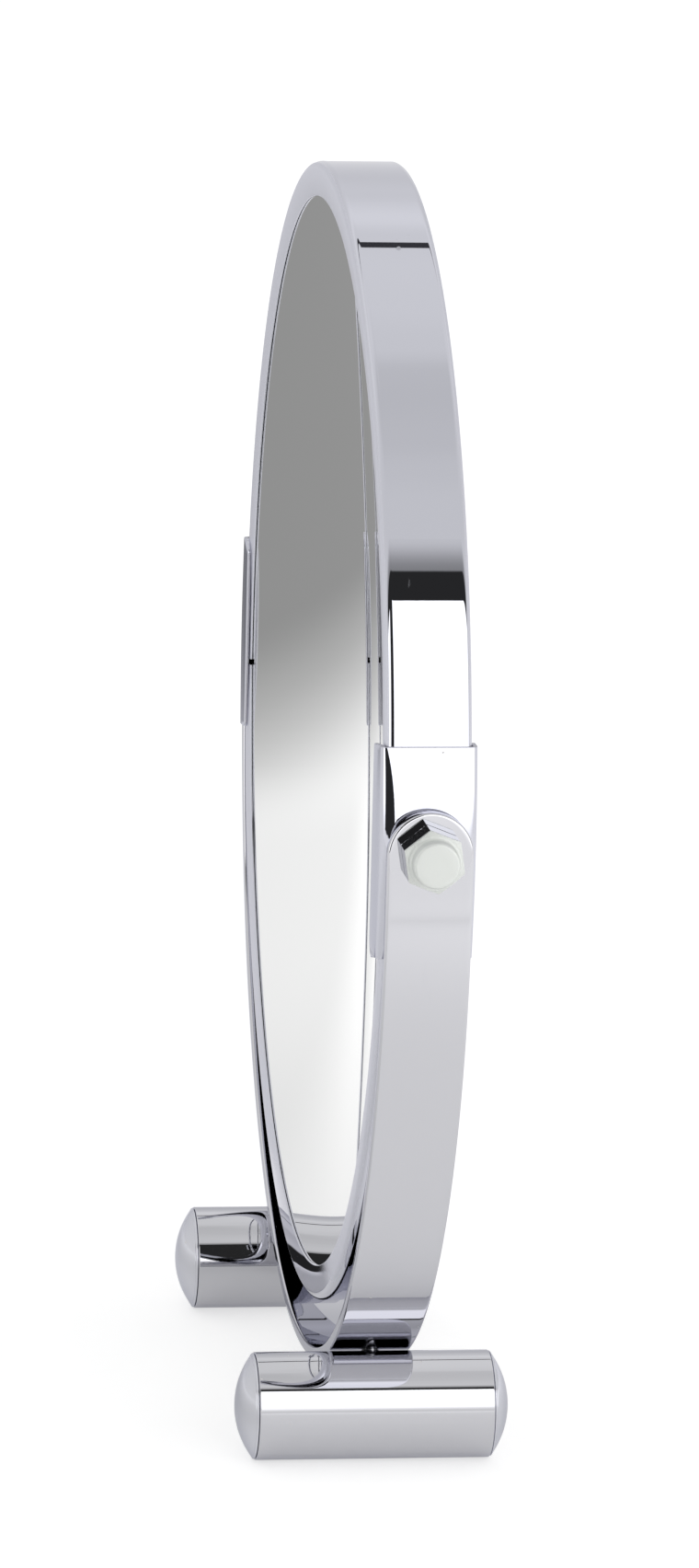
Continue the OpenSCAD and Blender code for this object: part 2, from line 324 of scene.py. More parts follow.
@dataclass
class SheetSection:
    """Section of a channel rolled or pressed from sheet, with round lips on its two flanges.

    The middle line runs along the front flange, round a bend, across the web, round the second bend and
    along the back flange. The outside and the inside lie half a sheet to either side of it.

    Attributes:
        flange_x: X of the flanges' free edges, shape (m,).
        web_x: X of the web's outer face, shape (m,).
        half: Half of the channel's width over both flanges.
        sheet: Thickness of the sheet.
        front: Bend towards the front flange, along the middle line.
        back: Bend towards the back flange, along the middle line.
        flare: How far the free edges of the front and the back flange stand out beyond the half width.
        support: Distance from the ends of a flat face to the points that keep its shading flat.
        lip_steps: Number of facets on a quarter of a free edge's round lip.
    """

    flange_x: Array
    web_x: Array
    half: float
    sheet: float
    front: Bend
    back: Bend
    flare: tuple[float, float] = (0.0, 0.0)
    support: float = 0.06 * MM
    lip_steps: int = 3

    def half_path(self, bend: Bend, flare: float) -> tuple[Array, Array]:
        """Flange and bend of one side, from the free edge to the web, with y measured from the flange.

        The flange's points lie at support and half way, and it leans out by flare * (1 - share)^2.

        Args:
            bend: The side's bend.
            flare: How far the flange's free edge stands out.

        Returns:
            Points (x, height above the flange's plane), shape (m, n, 2), and the normal's turn at each.
        """
        curve, turn = bend.path()
        web = self.web_x - self.sheet / 2
        curve = curve + np.stack([web - curve[:, -1, 0], 0 * web], axis=1)[:, None]
        tip = self.flange_x + self.sheet / 2
        length = curve[:, 0, 0] - tip
        near = self.support / np.maximum(length, self.support * 4)
        share = np.stack([0 * near, near, 0.25 + 0 * near, 0.5 + 0 * near, 0.75 + 0 * near, 1 - near], axis=1)
        x = tip[:, None] + length[:, None] * share
        flange = np.stack([x, -flare * (1 - share) ** 2], axis=-1)
        turns = np.concatenate([np.full(share.shape[1], -90.0), turn])
        return np.concatenate([flange, curve], axis=1), turns

    def loop(self) -> Array:
        """Closed loop of the section: the outside forwards, then the inside backwards.

        Returns:
            Points (x, y), shape (m, n, 2), where point i lies opposite point n - 1 - i.
        """
        middle = self.sheet / 2
        front, front_turn = self.half_path(self.front, self.flare[0])
        back, back_turn = self.half_path(self.back, self.flare[1])
        front = front + np.array([0, -self.half + middle])
        back = (back * np.array([1, -1]) + np.array([0, self.half - middle]))[:, ::-1]
        first, last = front[:, -1], back[:, 0]
        near = self.support / np.linalg.norm(last - first, axis=1).min()
        share = np.array([near, 0.25, 0.5, 0.75, 1 - near])[None, :, None]
        web = first[:, None] + (last - first)[:, None] * share
        path = np.concatenate([front, web, back], axis=1)
        angle = np.radians(np.concatenate([front_turn, np.zeros(web.shape[1]), -back_turn[::-1]]))
        normal = np.stack([np.cos(angle), np.sin(angle)], axis=1)[None]
        outside, inside = path + normal * middle, path - normal * middle
        lip = np.radians(np.linspace(0, 90, self.lip_steps + 1))[:-1]
        reach = middle * np.cos(lip)[:, None] * np.array([-1.0, 0.0])
        rise = middle * np.sin(lip)[:, None] * np.array([0.0, 1.0])
        front_tip, back_tip = path[:, :1], path[:, -1:]
        outer = [front_tip + reach - rise, outside, (back_tip + reach + rise)[:, ::-1]]
        inner = [front_tip + reach + rise, inside, (back_tip + reach - rise)[:, ::-1]]
        return np.concatenate([*outer, np.concatenate(inner, axis=1)[:, ::-1]], axis=1)


class Graph:
    """Small helper that places and joins nodes in one node tree."""

    def __init__(self, tree: bpy.types.NodeTree) -> None:
        """Keeps the tree that the nodes go into."""
        self.tree = tree

    def add(self, kind: str, inputs: dict | None = None, **settings: object) -> bpy.types.Node:
        """Adds a node, sets its properties and fills or links its inputs.

        Args:
            kind: Type name of the node.
            inputs: Values or output sockets by input name or number.
            **settings: Properties of the node.

        Returns:
            The new node.
        """
        node = self.tree.nodes.new(kind)
        for name, value in settings.items():
            setattr(node, name, value)
        for key, value in (inputs or {}).items():
            self.feed(node.inputs[key], value)
        return node

    def feed(self, socket: bpy.types.NodeSocket, value: object) -> None:
        """Links an output socket to an input, or sets the input's own value.

        Args:
            socket: The input socket.
            value: An output socket, a number or a tuple.
        """
        if isinstance(value, bpy.types.NodeSocket):
            self.tree.links.new(value, socket)
        else:
            socket.default_value = value

    def math(self, operation: str, *values: object) -> bpy.types.NodeSocket:
        """Adds a Math node.

        Args:
            operation: Name of the operation.
            *values: Numbers or output sockets.

        Returns:
            The result socket.
        """
        node = self.add("ShaderNodeMath", operation=operation)
        for socket, value in zip(node.inputs, values):
            self.feed(socket, value)
        return node.outputs[0]

    def ramp(self, value: object, low: float, high: float, smooth: bool = True) -> bpy.types.NodeSocket:
        """Maps a value to 0 at low and 1 at high, held outside.

        Args:
            value: The value's output socket.
            low: Value that gives 0.
            high: Value that gives 1.
            smooth: Whether the ends are eased.

        Returns:
            The result socket.
        """
        kind = "SMOOTHSTEP" if smooth else "LINEAR"
        node = self.add("ShaderNodeMapRange", {"Value": value, "From Min": low, "From Max": high},
                        interpolation_type=kind, clamp=True)
        return node.outputs["Result"]

    def mix(self, share: object, first: object, second: object) -> bpy.types.NodeSocket:
        """Mixes two colours.

        Args:
            share: Share of the second colour.
            first: First colour.
            second: Second colour.

        Returns:
            The mixed colour's socket.
        """
        node = self.add("ShaderNodeMix", data_type="RGBA")
        for index, value in ((0, share), (6, first), (7, second)):
            self.feed(node.inputs[index], value)
        return node.outputs[2]

    def blend(self, share: object, first: object, second: object) -> bpy.types.NodeSocket:
        """Mixes two numbers.

        Args:
            share: Share of the second number.
            first: First number.
            second: Second number.

        Returns:
            The mixed number's socket.
        """
        node = self.add("ShaderNodeMix", data_type="FLOAT")
        for index, value in ((0, share), (2, first), (3, second)):
            self.feed(node.inputs[index], value)
        return node.outputs[0]

    def rest(self, value: object) -> bpy.types.NodeSocket:
        """Adds 1 - value."""
        return self.math("SUBTRACT", 1.0, value)

    def place(self) -> bpy.types.NodeSocket:
        """Adds the Object coordinates."""
        return self.add("ShaderNodeTexCoord").outputs["Object"]

    def noise(self, place: object, scale: object, **settings: float) -> bpy.types.Node:
        """Adds a Noise Texture node, with inputs such as Detail given by name."""
        return self.add("ShaderNodeTexNoise", {"Vector": place, "Scale": scale, **settings})

    def glow(self, strength: object) -> bpy.types.NodeSocket:
        """Adds white light of the given strength."""
        return self.add("ShaderNodeEmission", {"Color": WHITE, "Strength": strength}).outputs[0]

    def bump(self, shader: bpy.types.Node, height: object, depth: float) -> None:
        """Joins a bump of the given depth to a shader."""
        node = self.add("ShaderNodeBump", {"Strength": 1.0, "Distance": depth, "Height": height})
        self.feed(shader.inputs["Normal"], node.outputs["Normal"])


@dataclass(frozen=True)
class Effect:
    """A shader node group that more than one finish uses.

    Attributes:
        name: Name of the group.
        inputs: Default value of each input.
        output: Name of the output.
    """

    name: str
    inputs: tuple[tuple[str, float], ...]
    output: str = "Mask"

    def tree(self) -> bpy.types.NodeTree:
        """Gives the group's tree and makes it on first use.

        Returns:
            The node tree.
        """
        made = bpy.data.node_groups.get(self.name)
        if made is None:
            made = bpy.data.node_groups.new(self.name, "ShaderNodeTree")
            for name, value in self.inputs:
                socket = made.interface.new_socket(name, in_out="INPUT", socket_type=VALUE_SOCKET)
                socket.default_value = value
            made.interface.new_socket(self.output, in_out="OUTPUT", socket_type=VALUE_SOCKET)
            graph = Graph(made)
            source = graph.add("NodeGroupInput")
            target = graph.add("NodeGroupOutput")
            graph.feed(target.inputs[self.output], self.draw(graph, source))
        return made

    def draw(self, graph: Graph, source: bpy.types.Node) -> bpy.types.NodeSocket:
        """Draws the inside of the group; each effect has its own."""
        raise NotImplementedError

    def use(self, graph: Graph, **values: object) -> bpy.types.NodeSocket:
        """Places the group in a material.

        Args:
            graph: Graph of the material.
            **values: Input values by name, with underscores for spaces.

        Returns:
            The group's output socket.
        """
        node = graph.add("ShaderNodeGroup", node_tree=self.tree())
        for name, value in values.items():
            graph.feed(node.inputs[name.replace("_", " ")], value)
        return node.outputs[self.output]


@dataclass(frozen=True)
class Ripple(Effect):
    """Height of the long, shallow waves that rolling and polishing leave in sheet metal."""

    name: str = "polish_ripple"
    inputs: tuple[tuple[str, float], ...] = (("Waves Per Metre", 60.0), ("Grain Per Metre", 900.0),
                                             ("Grain Share", 0.1))
    output: str = "Height"

    def draw(self, graph: Graph, source: bpy.types.Node) -> bpy.types.NodeSocket:
        """Adds a coarse and a fine noise on Object coordinates: wave + share * grain.

        Args:
            graph: Graph of the group.
            source: The group's input node.

        Returns:
            The height socket.
        """
        place = graph.place()
        wave = graph.noise(place, source.outputs["Waves Per Metre"], Detail=1.0, Roughness=0.4)
        grain = graph.noise(place, source.outputs["Grain Per Metre"], Detail=2.0, Roughness=0.5)
        fine = graph.math("MULTIPLY", grain.outputs["Fac"], source.outputs["Grain Share"])
        return graph.math("ADD", wave.outputs["Fac"], fine)


@dataclass(frozen=True)
class Haze(Effect):
    """Mask of the faint haze that wiping and handling leave on a polished face.

    Attributes:
        border: Noise below and above the cover's edge between which the mask fades in.
    """

    name: str = "handling_haze"
    inputs: tuple[tuple[str, float], ...] = (("Patches Per Metre", 45.0), ("Cover", 0.4))
    border: tuple[float, float] = (-0.2, 0.25)

    def draw(self, graph: Graph, source: bpy.types.Node) -> bpy.types.NodeSocket:
        """Warped noise, kept where it exceeds 1 - cover, with soft borders.

        Args:
            graph: Graph of the group.
            source: The group's input node.

        Returns:
            The mask socket.
        """
        cloud = graph.noise(graph.place(), source.outputs["Patches Per Metre"], Detail=6.0, Roughness=0.62,
                            Distortion=0.8)
        above = graph.math("SUBTRACT", cloud.outputs["Fac"], graph.rest(source.outputs["Cover"]))
        return graph.ramp(above, *self.border)


@dataclass(frozen=True)
class Dust(Effect):
    """Mask of single dust specks with uneven size.

    Attributes:
        warp: How far the noise shifts a speck's outline.
        warp_scale: Scale of that noise, as a multiple of the specks'.
        border: Width of a speck's soft border, as a share of its cell.
    """

    name: str = "dust_specks"
    inputs: tuple[tuple[str, float], ...] = (("Specks Per Metre", 420.0), ("Size", 0.10), ("Cover", 0.25))
    warp: float = 0.0004
    warp_scale: float = 5.0
    border: float = 0.03

    def draw(self, graph: Graph, source: bpy.types.Node) -> bpy.types.NodeSocket:
        """Voronoi cells, of which a share has a speck round its middle, warped by fine noise.

        Args:
            graph: Graph of the group.
            source: The group's input node.

        Returns:
            The mask socket.
        """
        place = graph.place()
        frequency = source.outputs["Specks Per Metre"]
        warp = graph.noise(place, graph.math("MULTIPLY", frequency, self.warp_scale), Detail=2.0)
        shift = graph.add("ShaderNodeVectorMath", {0: warp.outputs["Color"], 1: (self.warp,) * 3},
                          operation="MULTIPLY")
        moved = graph.add("ShaderNodeVectorMath", {0: place, 1: shift.outputs[0]}, operation="ADD")
        cell = graph.add("ShaderNodeTexVoronoi", {"Vector": moved.outputs[0], "Scale": frequency})
        tint = graph.add("ShaderNodeSeparateColor", {"Color": cell.outputs["Color"]})
        chosen = graph.math("LESS_THAN", tint.outputs[0], source.outputs["Cover"])
        reach = graph.math("MULTIPLY", source.outputs["Size"], tint.outputs[1])
        near = graph.math("SUBTRACT", reach, cell.outputs["Distance"])
        return graph.math("MULTIPLY", chosen, graph.ramp(near, 0.0, self.border))


@dataclass(frozen=True)
class Scratches(Effect):
    """Mask of short hairline scratches from cleaning, in two crossing directions.

    Attributes:
        angles: Turns of the two directions, in radians.
        lean: Lean of both, in radians.
        stretch: Scale along a scratch, as a share of the scale across it.
        level: Noise above which a scratch shows at no cover.
        border: Noise over which a scratch fades in.
    """

    name: str = "hairline_scratches"
    inputs: tuple[tuple[str, float], ...] = (("Lines Per Metre", 500.0), ("Cover", 0.12))
    angles: tuple[float, float] = (0.5, -0.9)
    lean: float = 0.3
    stretch: float = 0.02
    level: float = 0.86
    border: float = 0.05

    def draw(self, graph: Graph, source: bpy.types.Node) -> bpy.types.NodeSocket:
        """Noise stretched along a slanted direction, kept where it is highest, twice.

        Args:
            graph: Graph of the group.
            source: The group's input node.

        Returns:
            The mask socket.
        """
        place = graph.place()
        edge = graph.math("SUBTRACT", self.level, source.outputs["Cover"])
        masks = []
        for angle in self.angles:
            turned = graph.add("ShaderNodeMapping", {"Vector": place, "Rotation": (angle, self.lean, angle),
                                                     "Scale": (1.0, 1.0, self.stretch)})
            streak = graph.noise(turned.outputs[0], source.outputs["Lines Per Metre"], Detail=1.0)
            above = graph.math("SUBTRACT", streak.outputs["Fac"], edge)
            masks.append(graph.ramp(above, 0.0, self.border))
        return graph.math("MAXIMUM", *masks)


MADE: dict["Finish", bpy.types.Material] = {}
DUST_COLOUR = (0.75, 0.74, 0.72, 1.0)
DUST_ROUGH = 0.7
DUST_COVER = 0.7


@dataclass(frozen=True)
class Finish:
    """A procedural finish.

    Attributes:
        name: Name of the material.
        slot: Material slot of the record; not used.
    """

    name: str
    slot: str

    def material(self) -> bpy.types.Material:
        """Gives the finish's material and makes it on first use.

        Returns:
            The material.

        Raises:
            ValueError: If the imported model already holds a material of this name.
        """
        made = MADE.get(self)
        if made is None:
            if self.name in bpy.data.materials:
                raise ValueError(f"the name {self.name} is taken")
            made = bpy.data.materials.new(self.name)
            made.use_nodes = True
            self.draw(Graph(made.node_tree), made.node_tree.nodes["Principled BSDF"])
            MADE[self] = made
        return made

    def draw(self, graph: Graph, shader: bpy.types.Node) -> None:
        """Draws the finish; each finish has its own."""
        raise NotImplementedError


@dataclass(frozen=True)
class Metal(Finish):
    """Plated or polished metal with ripple, haze, scratches and dust.

    Attributes:
        colour: Colour of the metal.
        polish: Roughness of the polished faces.
        graze: Reflectance near grazing, which dips as chromium's does.
        satin: Roughness of the satin faces.
        satin_colour: Colour of the satin faces, where it differs.
        cut_rough: Roughness of sheared edges.
        cut_colour: Colour of sheared edges.
        ripple: Height of the ripple.
        waves: Ripple waves per metre.
        grain: Grain per metre.
        grain_share: Height of the grain as a share of the ripple.
        haze: Roughness that full haze adds.
        scratch: Roughness that a hairline scratch adds.
        dust: Share of cells that hold a speck.
        dust_size: Reach of the largest speck in its cell.
    """

    colour: tuple[float, float, float] = (0.61, 0.615, 0.675)
    polish: float = 0.008
    graze: tuple[float, float, float] = (0.75, 0.755, 0.8)
    satin: float = 0.16
    satin_colour: tuple[float, float, float] | None = None
    cut_rough: float = 0.6
    cut_colour: tuple[float, float, float] = (0.6, 0.6, 0.64)
    ripple: float = 2.5e-6
    waves: float = 60.0
    grain: float = 900.0
    grain_share: float = 0.1
    haze: float = 0.04
    scratch: float = 0.12
    dust: float = 0.2
    dust_size: float = 0.1

    def draw(self, graph: Graph, shader: bpy.types.Node) -> None:
        """Joins the effects to the shader.

        Args:
            graph: Graph of the material.
            shader: The material's shader node.
        """
        ripple = Ripple().use(graph, Waves_Per_Metre=self.waves, Grain_Per_Metre=self.grain,
                              Grain_Share=self.grain_share)
        haze = Haze().use(graph)
        speck = Dust().use(graph, Cover=self.dust, Size=self.dust_size)
        scratches = Scratches().use(graph)
        satin = self.satin_mask(graph)
        cut = self.cut_mask(graph)
        base = graph.blend(satin, self.polish, self.satin)
        colour = graph.mix(satin, (*self.colour, 1.0), (*(self.satin_colour or self.colour), 1.0))
        if cut is not None:
            base = graph.blend(cut, base, self.cut_rough)
            colour = graph.mix(cut, colour, (*self.cut_colour, 1.0))
        cloudy = graph.math("MULTIPLY", haze, self.haze)
        scored = graph.math("MULTIPLY", scratches, self.scratch)
        rough = graph.math("ADD", graph.math("ADD", base, cloudy), scored)
        graph.feed(shader.inputs["Roughness"], graph.blend(speck, rough, DUST_ROUGH))
        graph.feed(shader.inputs["Base Color"], graph.mix(speck, colour, DUST_COLOUR))
        graph.feed(shader.inputs["Metallic"], graph.rest(graph.math("MULTIPLY", speck, DUST_COVER)))
        graph.bump(shader, ripple, self.ripple)
        shader.inputs["Specular Tint"].default_value = (*self.graze, 1.0)

    def axes(self, graph: Graph) -> tuple[bpy.types.NodeSocket, bpy.types.NodeSocket, bpy.types.NodeSocket]:
        """Gives |X|, |Y| and Z of the Object coordinates."""
        parts = graph.add("ShaderNodeSeparateXYZ", {0: graph.place()}).outputs
        return graph.math("ABSOLUTE", parts["X"]), graph.math("ABSOLUTE", parts["Y"]), parts["Z"]

    def satin_mask(self, graph: Graph) -> object:
        """Share of satin; a plain metal has none."""
        return 0.0

    def cut_mask(self, graph: Graph) -> bpy.types.NodeSocket | None:
        """Share of bare cut edge; a plain metal shows none."""
        return None


@dataclass(frozen=True)
class RolledChrome(Metal):
    """Chrome of the hoop: its flat front and back are satin, but buffed bright at the foot of the hoop.

    Attributes:
        satin_y: Distance from the middle plane beyond which a face is satin.
        satin_fade: Depth over which the satin begins.
        buffed_z: Height below which the flat faces begin to be bright.
        buffed_fade: Height over which they become so.
    """

    satin_y: float = 5.85 * MM
    satin_fade: float = 0.2 * MM
    buffed_z: float = 30 * MM
    buffed_fade: float = 8 * MM

    def satin_mask(self, graph: Graph) -> object:
        """Ramp over |Y|, times a ramp over Z.

        Args:
            graph: Graph of the material.

        Returns:
            The mask socket.
        """
        _, depth, height = self.axes(graph)
        return graph.math("MULTIPLY", graph.ramp(depth, self.satin_y - self.satin_fade, self.satin_y),
                          graph.ramp(height, self.buffed_z - self.buffed_fade, self.buffed_z))


@dataclass(frozen=True)
class PressedChrome(Metal):
    """Chrome of the pressed clips: satin flanges and sheared edges that the plating hardly covers.

    Attributes:
        satin_y: Distance from the middle plane beyond which a face is satin.
        satin_fade: Depth over which the satin begins.
        edge_x: Distance from the middle within which the flanges' sheared edge lies.
        end_low: Height of the lower sheared end.
        end_high: Height of the upper sheared end.
    """

    satin_y: float = 6.86 * MM
    satin_fade: float = 0.12 * MM
    edge_x: float = 81.36 * MM
    end_low: float = 85.97 * MM
    end_high: float = 116.43 * MM

    def satin_mask(self, graph: Graph) -> object:
        """Ramp over |Y|.

        Args:
            graph: Graph of the material.

        Returns:
            The mask socket.
        """
        _, depth, _ = self.axes(graph)
        return graph.ramp(depth, self.satin_y - self.satin_fade, self.satin_y)

    def cut_mask(self, graph: Graph) -> bpy.types.NodeSocket | None:
        """Share of sheared edge: at the flanges' free edge and at both ends.

        Args:
            graph: Graph of the material.

        Returns:
            The mask socket.
        """
        across, _, height = self.axes(graph)
        edge = graph.math("LESS_THAN", across, self.edge_x)
        ends = graph.math("MAXIMUM", graph.math("GREATER_THAN", height, self.end_high),
                          graph.math("LESS_THAN", height, self.end_low))
        return graph.math("MAXIMUM", edge, ends)


@dataclass(frozen=True)
class NutPlating(Metal):
    """White zinc plating: bright flats, and a dull face and cap that tumbling has roughened.

    Attributes:
        dull_x: Distance from the middle beyond which the nut begins to be dull.
        dull_fade: Distance over which it becomes so.
    """

    dull_x: float = 92.9 * MM
    dull_fade: float = 0.5 * MM

    def satin_mask(self, graph: Graph) -> object:
        """Ramp over |X|.

        Args:
            graph: Graph of the material.

        Returns:
            The mask socket.
        """
        across, _, _ = self.axes(graph)
        return graph.ramp(across, self.dull_x, self.dull_x + self.dull_fade)


@dataclass(frozen=True)
class MirrorGlass(Finish):
    """Silvered glass: a clear mirror with a trace of wiping haze and dust.

    Attributes:
        colour: Colour of the silvering.
        haze: Roughness that full haze adds.
        speck_colour: Colour of a dust speck.
        speck_rough: Roughness of a dust speck.
    """

    colour: tuple[float, float, float] = (0.9, 0.905, 0.9)
    haze: float = 0.012
    speck_colour: tuple[float, float, float] = (0.8, 0.8, 0.78)
    speck_rough: float = 0.4

    def draw(self, graph: Graph, shader: bpy.types.Node) -> None:
        """Joins a faint haze and dust to a mirror.

        Args:
            graph: Graph of the material.
            shader: The material's shader node.
        """
        haze = Haze().use(graph, Patches_Per_Metre=25.0, Cover=0.35)
        speck = Dust().use(graph, Specks_Per_Metre=260.0, Size=0.05, Cover=0.08)
        cloudy = graph.math("MULTIPLY", haze, self.haze)
        graph.feed(shader.inputs["Roughness"], graph.blend(speck, cloudy, self.speck_rough))
        tint = graph.mix(speck, (*self.colour, 1.0), (*self.speck_colour, 1.0))
        graph.feed(shader.inputs["Base Color"], tint)
        shader.inputs["Metallic"].default_value = 1.0


@dataclass(frozen=True)
class Plastic(Finish):
    """Moulded plastic or foam with a fine grain, darkened in the grain's hollows as painted shade.

    Attributes:
        colour: Colour of the plastic.
        dark: Colour in the hollows of the grain.
        rough: Roughness.
        grain: Grain per metre.
        clump: Grains across one of the coarser lumps.
        hollow: Height of the grain at which a hollow ends, and at which a crest begins.
        dull: Roughness that a hollow adds.
        depth: Height of the grain.
    """

    colour: tuple[float, float, float] = (0.8, 0.79, 0.76)
    dark: tuple[float, float, float] = (0.7, 0.69, 0.66)
    rough: float = 0.45
    grain: float = 2500.0
    clump: float = 6.0
    hollow: tuple[float, float] = (0.7, 1.3)
    dull: float = 0.08
    depth: float = 4e-6

    def draw(self, graph: Graph, shader: bpy.types.Node) -> None:
        """Joins a grain to colour, roughness and bump; the colour is darkened in the hollows as painted
        shade.

        Args:
            graph: Graph of the material.
            shader: The material's shader node.
        """
        height = Ripple().use(graph, Waves_Per_Metre=self.grain / self.clump, Grain_Per_Metre=self.grain,
                              Grain_Share=1.0)
        share = graph.ramp(height, *self.hollow)
        # Painted shade: the colour darkens where the grain's height is low.
        graph.feed(shader.inputs["Base Color"], graph.mix(share, (*self.dark, 1.0), (*self.colour, 1.0)))
        graph.feed(shader.inputs["Roughness"], graph.blend(share, self.rough + self.dull, self.rough))
        graph.bump(shader, height, self.depth)


RIM_CHROME = RolledChrome("rolled_chrome", "rim_chrome", graze=(0.97, 0.97, 1.0), satin=0.45,
                          satin_colour=(0.68, 0.685, 0.745))
CLIP_CHROME = PressedChrome("pressed_chrome", "rim_chrome", ripple=3.5e-6, grain=3500.0, grain_share=0.3,
                            dust=0.25)
STAND_COLOUR = (0.628, 0.628, 0.66)
STRAP_CHROME = Metal("strap_chrome", "stand_chrome", colour=STAND_COLOUR, ripple=2e-6, waves=40.0)
TUBE_CHROME = Metal("tube_chrome", "stand_chrome", colour=STAND_COLOUR, polish=0.02, waves=120.0,
                    grain=1700.0, grain_share=0.2)
CAP_CHROME = Metal("plated_cap", "cap_chrome", colour=(0.7, 0.705, 0.75), polish=0.14, ripple=2e-6)
NUT_PLATING = NutPlating("tumbled_zinc", "nut_plating", colour=(0.66, 0.67, 0.66), polish=0.1, satin=0.6,
                         satin_colour=(0.76, 0.78, 0.755), ripple=9e-6, waves=2200.0, grain=5000.0,
                         grain_share=0.4, haze=0.1)
WELD_METAL = Metal("weld_metal", "zinc_steel", colour=(0.5, 0.5, 0.51), polish=0.25, ripple=2e-5,
                   waves=1500.0)
STUD_STEEL = Metal("stud_steel", "zinc_steel", colour=(0.55, 0.55, 0.56), polish=0.3, ripple=6e-6,
                   waves=800.0)
MIRROR_GLASS = MirrorGlass("silvered_glass", "mirror_glass")
NYLON = Plastic("moulded_nylon", "nylon")
# The foam's dark colour is painted shade in the hollows of its grain.
FOAM = Plastic("soft_foam", "foam", colour=(0.06, 0.06, 0.065), dark=(0.02, 0.02, 0.02), rough=0.9,
               grain=1500.0, depth=8e-5)


def dress(piece: bpy.types.Object, finish: Finish, body: Body, *nodes: str) -> bpy.types.Object:
    """Gives a piece its finish and body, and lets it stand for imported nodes.

    Args:
        piece: The piece.
        finish: Its finish.
        body: The body that it rides on.
        *nodes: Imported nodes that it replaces.

    Returns:
        The piece.
    """
    piece.data.materials.clear()
    piece.data.materials.append(finish.material())
    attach(piece, body.value)
    if nodes:
        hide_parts(*nodes)
    LOG.info("%s: %d faces, for %s", piece.name, len(piece.data.polygons), ", ".join(nodes) or "itself")
    return piece


@dataclass
class MirrorHead:
    """The tilting head: rolled hoop, two glasses, the pad between them and the two pivot clips.

    Attributes:
        pivot_z: Height of the pivot axis.
        sheet: Thickness of the hoop's sheet.
        bezel: Radial width of the hoop's flat faces.
        front_bend: Outside radius of the hoop's front bend.
        back_bend: Outside radius of the hoop's back bend.
        butt_gap: Gap at the hoop's butt joint.
        dish: How far the flanges' free edges fall towards the glass.
        butt_gap: Gap at the hoop's butt joint.
        butt_drop: Distance of the butt joint below the pivot.
        glass: Thickness of a glass.
        ground: Bevel ground round the plain glass.
        soft: Rounding of the pad's rim.
        edge: Rounding of the cut edges of hoop and clips.
        inset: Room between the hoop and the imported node's outline.
        clip_sheet: Thickness of the clips' sheet.
        clip_bend: Outside radius of the clips' bends at their ends.
        clip_swell: How much larger the front bend is half way along a clip.
        clip_corner: Radius of a flange's large corner.
        clip_corner_small: Radius of its small corner.
        clip_flare: How far the right clip's front flange stands off at its free edge.
        clip_hug: How far the left clip's front flange falls towards the dished bezel there.
        hoop_turns: Number of sections round the hoop.
        clip_rows: Number of sections along a clip.
        glass_turns: Number of steps round the bent glass.
        glass_rings: Number of rings on its front.
    """

    pivot_z: float
    sheet: float = 0.3 * MM
    bezel: float = 5.3 * MM
    front_bend: float = 1.3 * MM
    back_bend: float = 1.0 * MM
    dish: float = 0.32 * MM
    butt_gap: float = 1.0 * MM
    butt_drop: float = 5.3 * MM
    glass: float = 2.0 * MM
    ground: float = 0.2 * MM
    soft: float = 0.6 * MM
    edge: float = 0.1 * MM
    inset: float = 0.006 * MM
    clip_sheet: float = 0.6 * MM
    clip_bend: float = 0.9 * MM
    clip_swell: float = 3.4 * MM
    clip_corner: float = 2.4 * MM
    clip_corner_small: float = 0.8 * MM
    clip_flare: float = 0.5 * MM
    clip_hug: float = 0.26 * MM
    hoop_turns: int = 880
    clip_rows: int = 161
    glass_turns: int = 512
    glass_rings: int = 150

    def build(self) -> None:
        """Builds and dresses every piece of the head."""
        dress(self.hoop(), RIM_CHROME, Body.HEAD, "rim_hoop")
        dress(self.magnifier(), MIRROR_GLASS, Body.HEAD, "magnifying_glass")
        dress(self.plain_glass(), MIRROR_GLASS, Body.HEAD, "plain_glass")
        pad = dress(self.pad(), FOAM, Body.HEAD, "backing_pad")
        for side in Side:
            dress(self.clip(side), CLIP_CHROME, Body.HEAD, f"pivot_clip_{side.word}")

    def hoop(self) -> bpy.types.Object:
        """Rolled channel carried round the pivot axis, open at its butt joint.

        Returns:
            The hoop: (r cos a, y, pivot_z + r sin a) for each section point (r, y) and angle a.
        """
        low, high = box_of("rim_hoop")
        radius = (high[0] - low[0]) / 2 - self.inset
        half = (high[1] - low[1]) / 2
        one = np.ones(1)
        front, back = (Bend(r * one, r * one) for r in (self.front_bend - self.sheet / 2,
                                                        self.back_bend - self.sheet / 2))
        section = SheetSection((radius - self.bezel) * one, radius * one, half, self.sheet, front, back,
                               (-self.dish, -self.dish)).loop()[0]
        start = math.pi + math.asin(self.butt_drop / radius) + self.butt_gap / 2 / radius
        sweep = 2 * math.pi - self.butt_gap / radius
        turn = start + np.linspace(0, sweep, self.hoop_turns)[:, None]
        points = np.stack([section[None, :, 0] * np.cos(turn), section[None, :, 1] + 0 * turn,
                           self.pivot_z + section[None, :, 0] * np.sin(turn)], axis=-1)
        made = Piece("rim_hoop_rolled", points, wrap_columns=True, capped=True).build()
        round_edges(made, self.edge)
        return made

    def magnifier(self) -> bpy.types.Object:
        """Bent glass: both faces are parts of spheres about one centre in front of the mirror.

        Returns:
            The glass, a profile turned about Y, whose depth at radius r is the sphere's drop.
        """
        low, high = box_of("magnifying_glass")
        radius = (high[0] - low[0]) / 2
        sag = high[1] - low[1] - self.glass
        curve = sphere_radius(radius, sag)
        rest = math.sqrt(curve ** 2 - radius ** 2)
        faces = []
        for count in (self.glass_rings, self.glass_rings // 6):
            r = radius * np.sin(np.linspace(0, np.pi / 2, count))
            faces.append(np.stack([r, low[1] + np.sqrt(curve ** 2 - r ** 2) - rest], axis=1))
        profile = np.concatenate([faces[0], faces[1][::-1] + np.array([0, self.glass])])
        return Piece("magnifying_glass_bent", revolve_y(profile, 0, self.pivot_z, self.glass_turns),
                     wrap_rows=True).build()

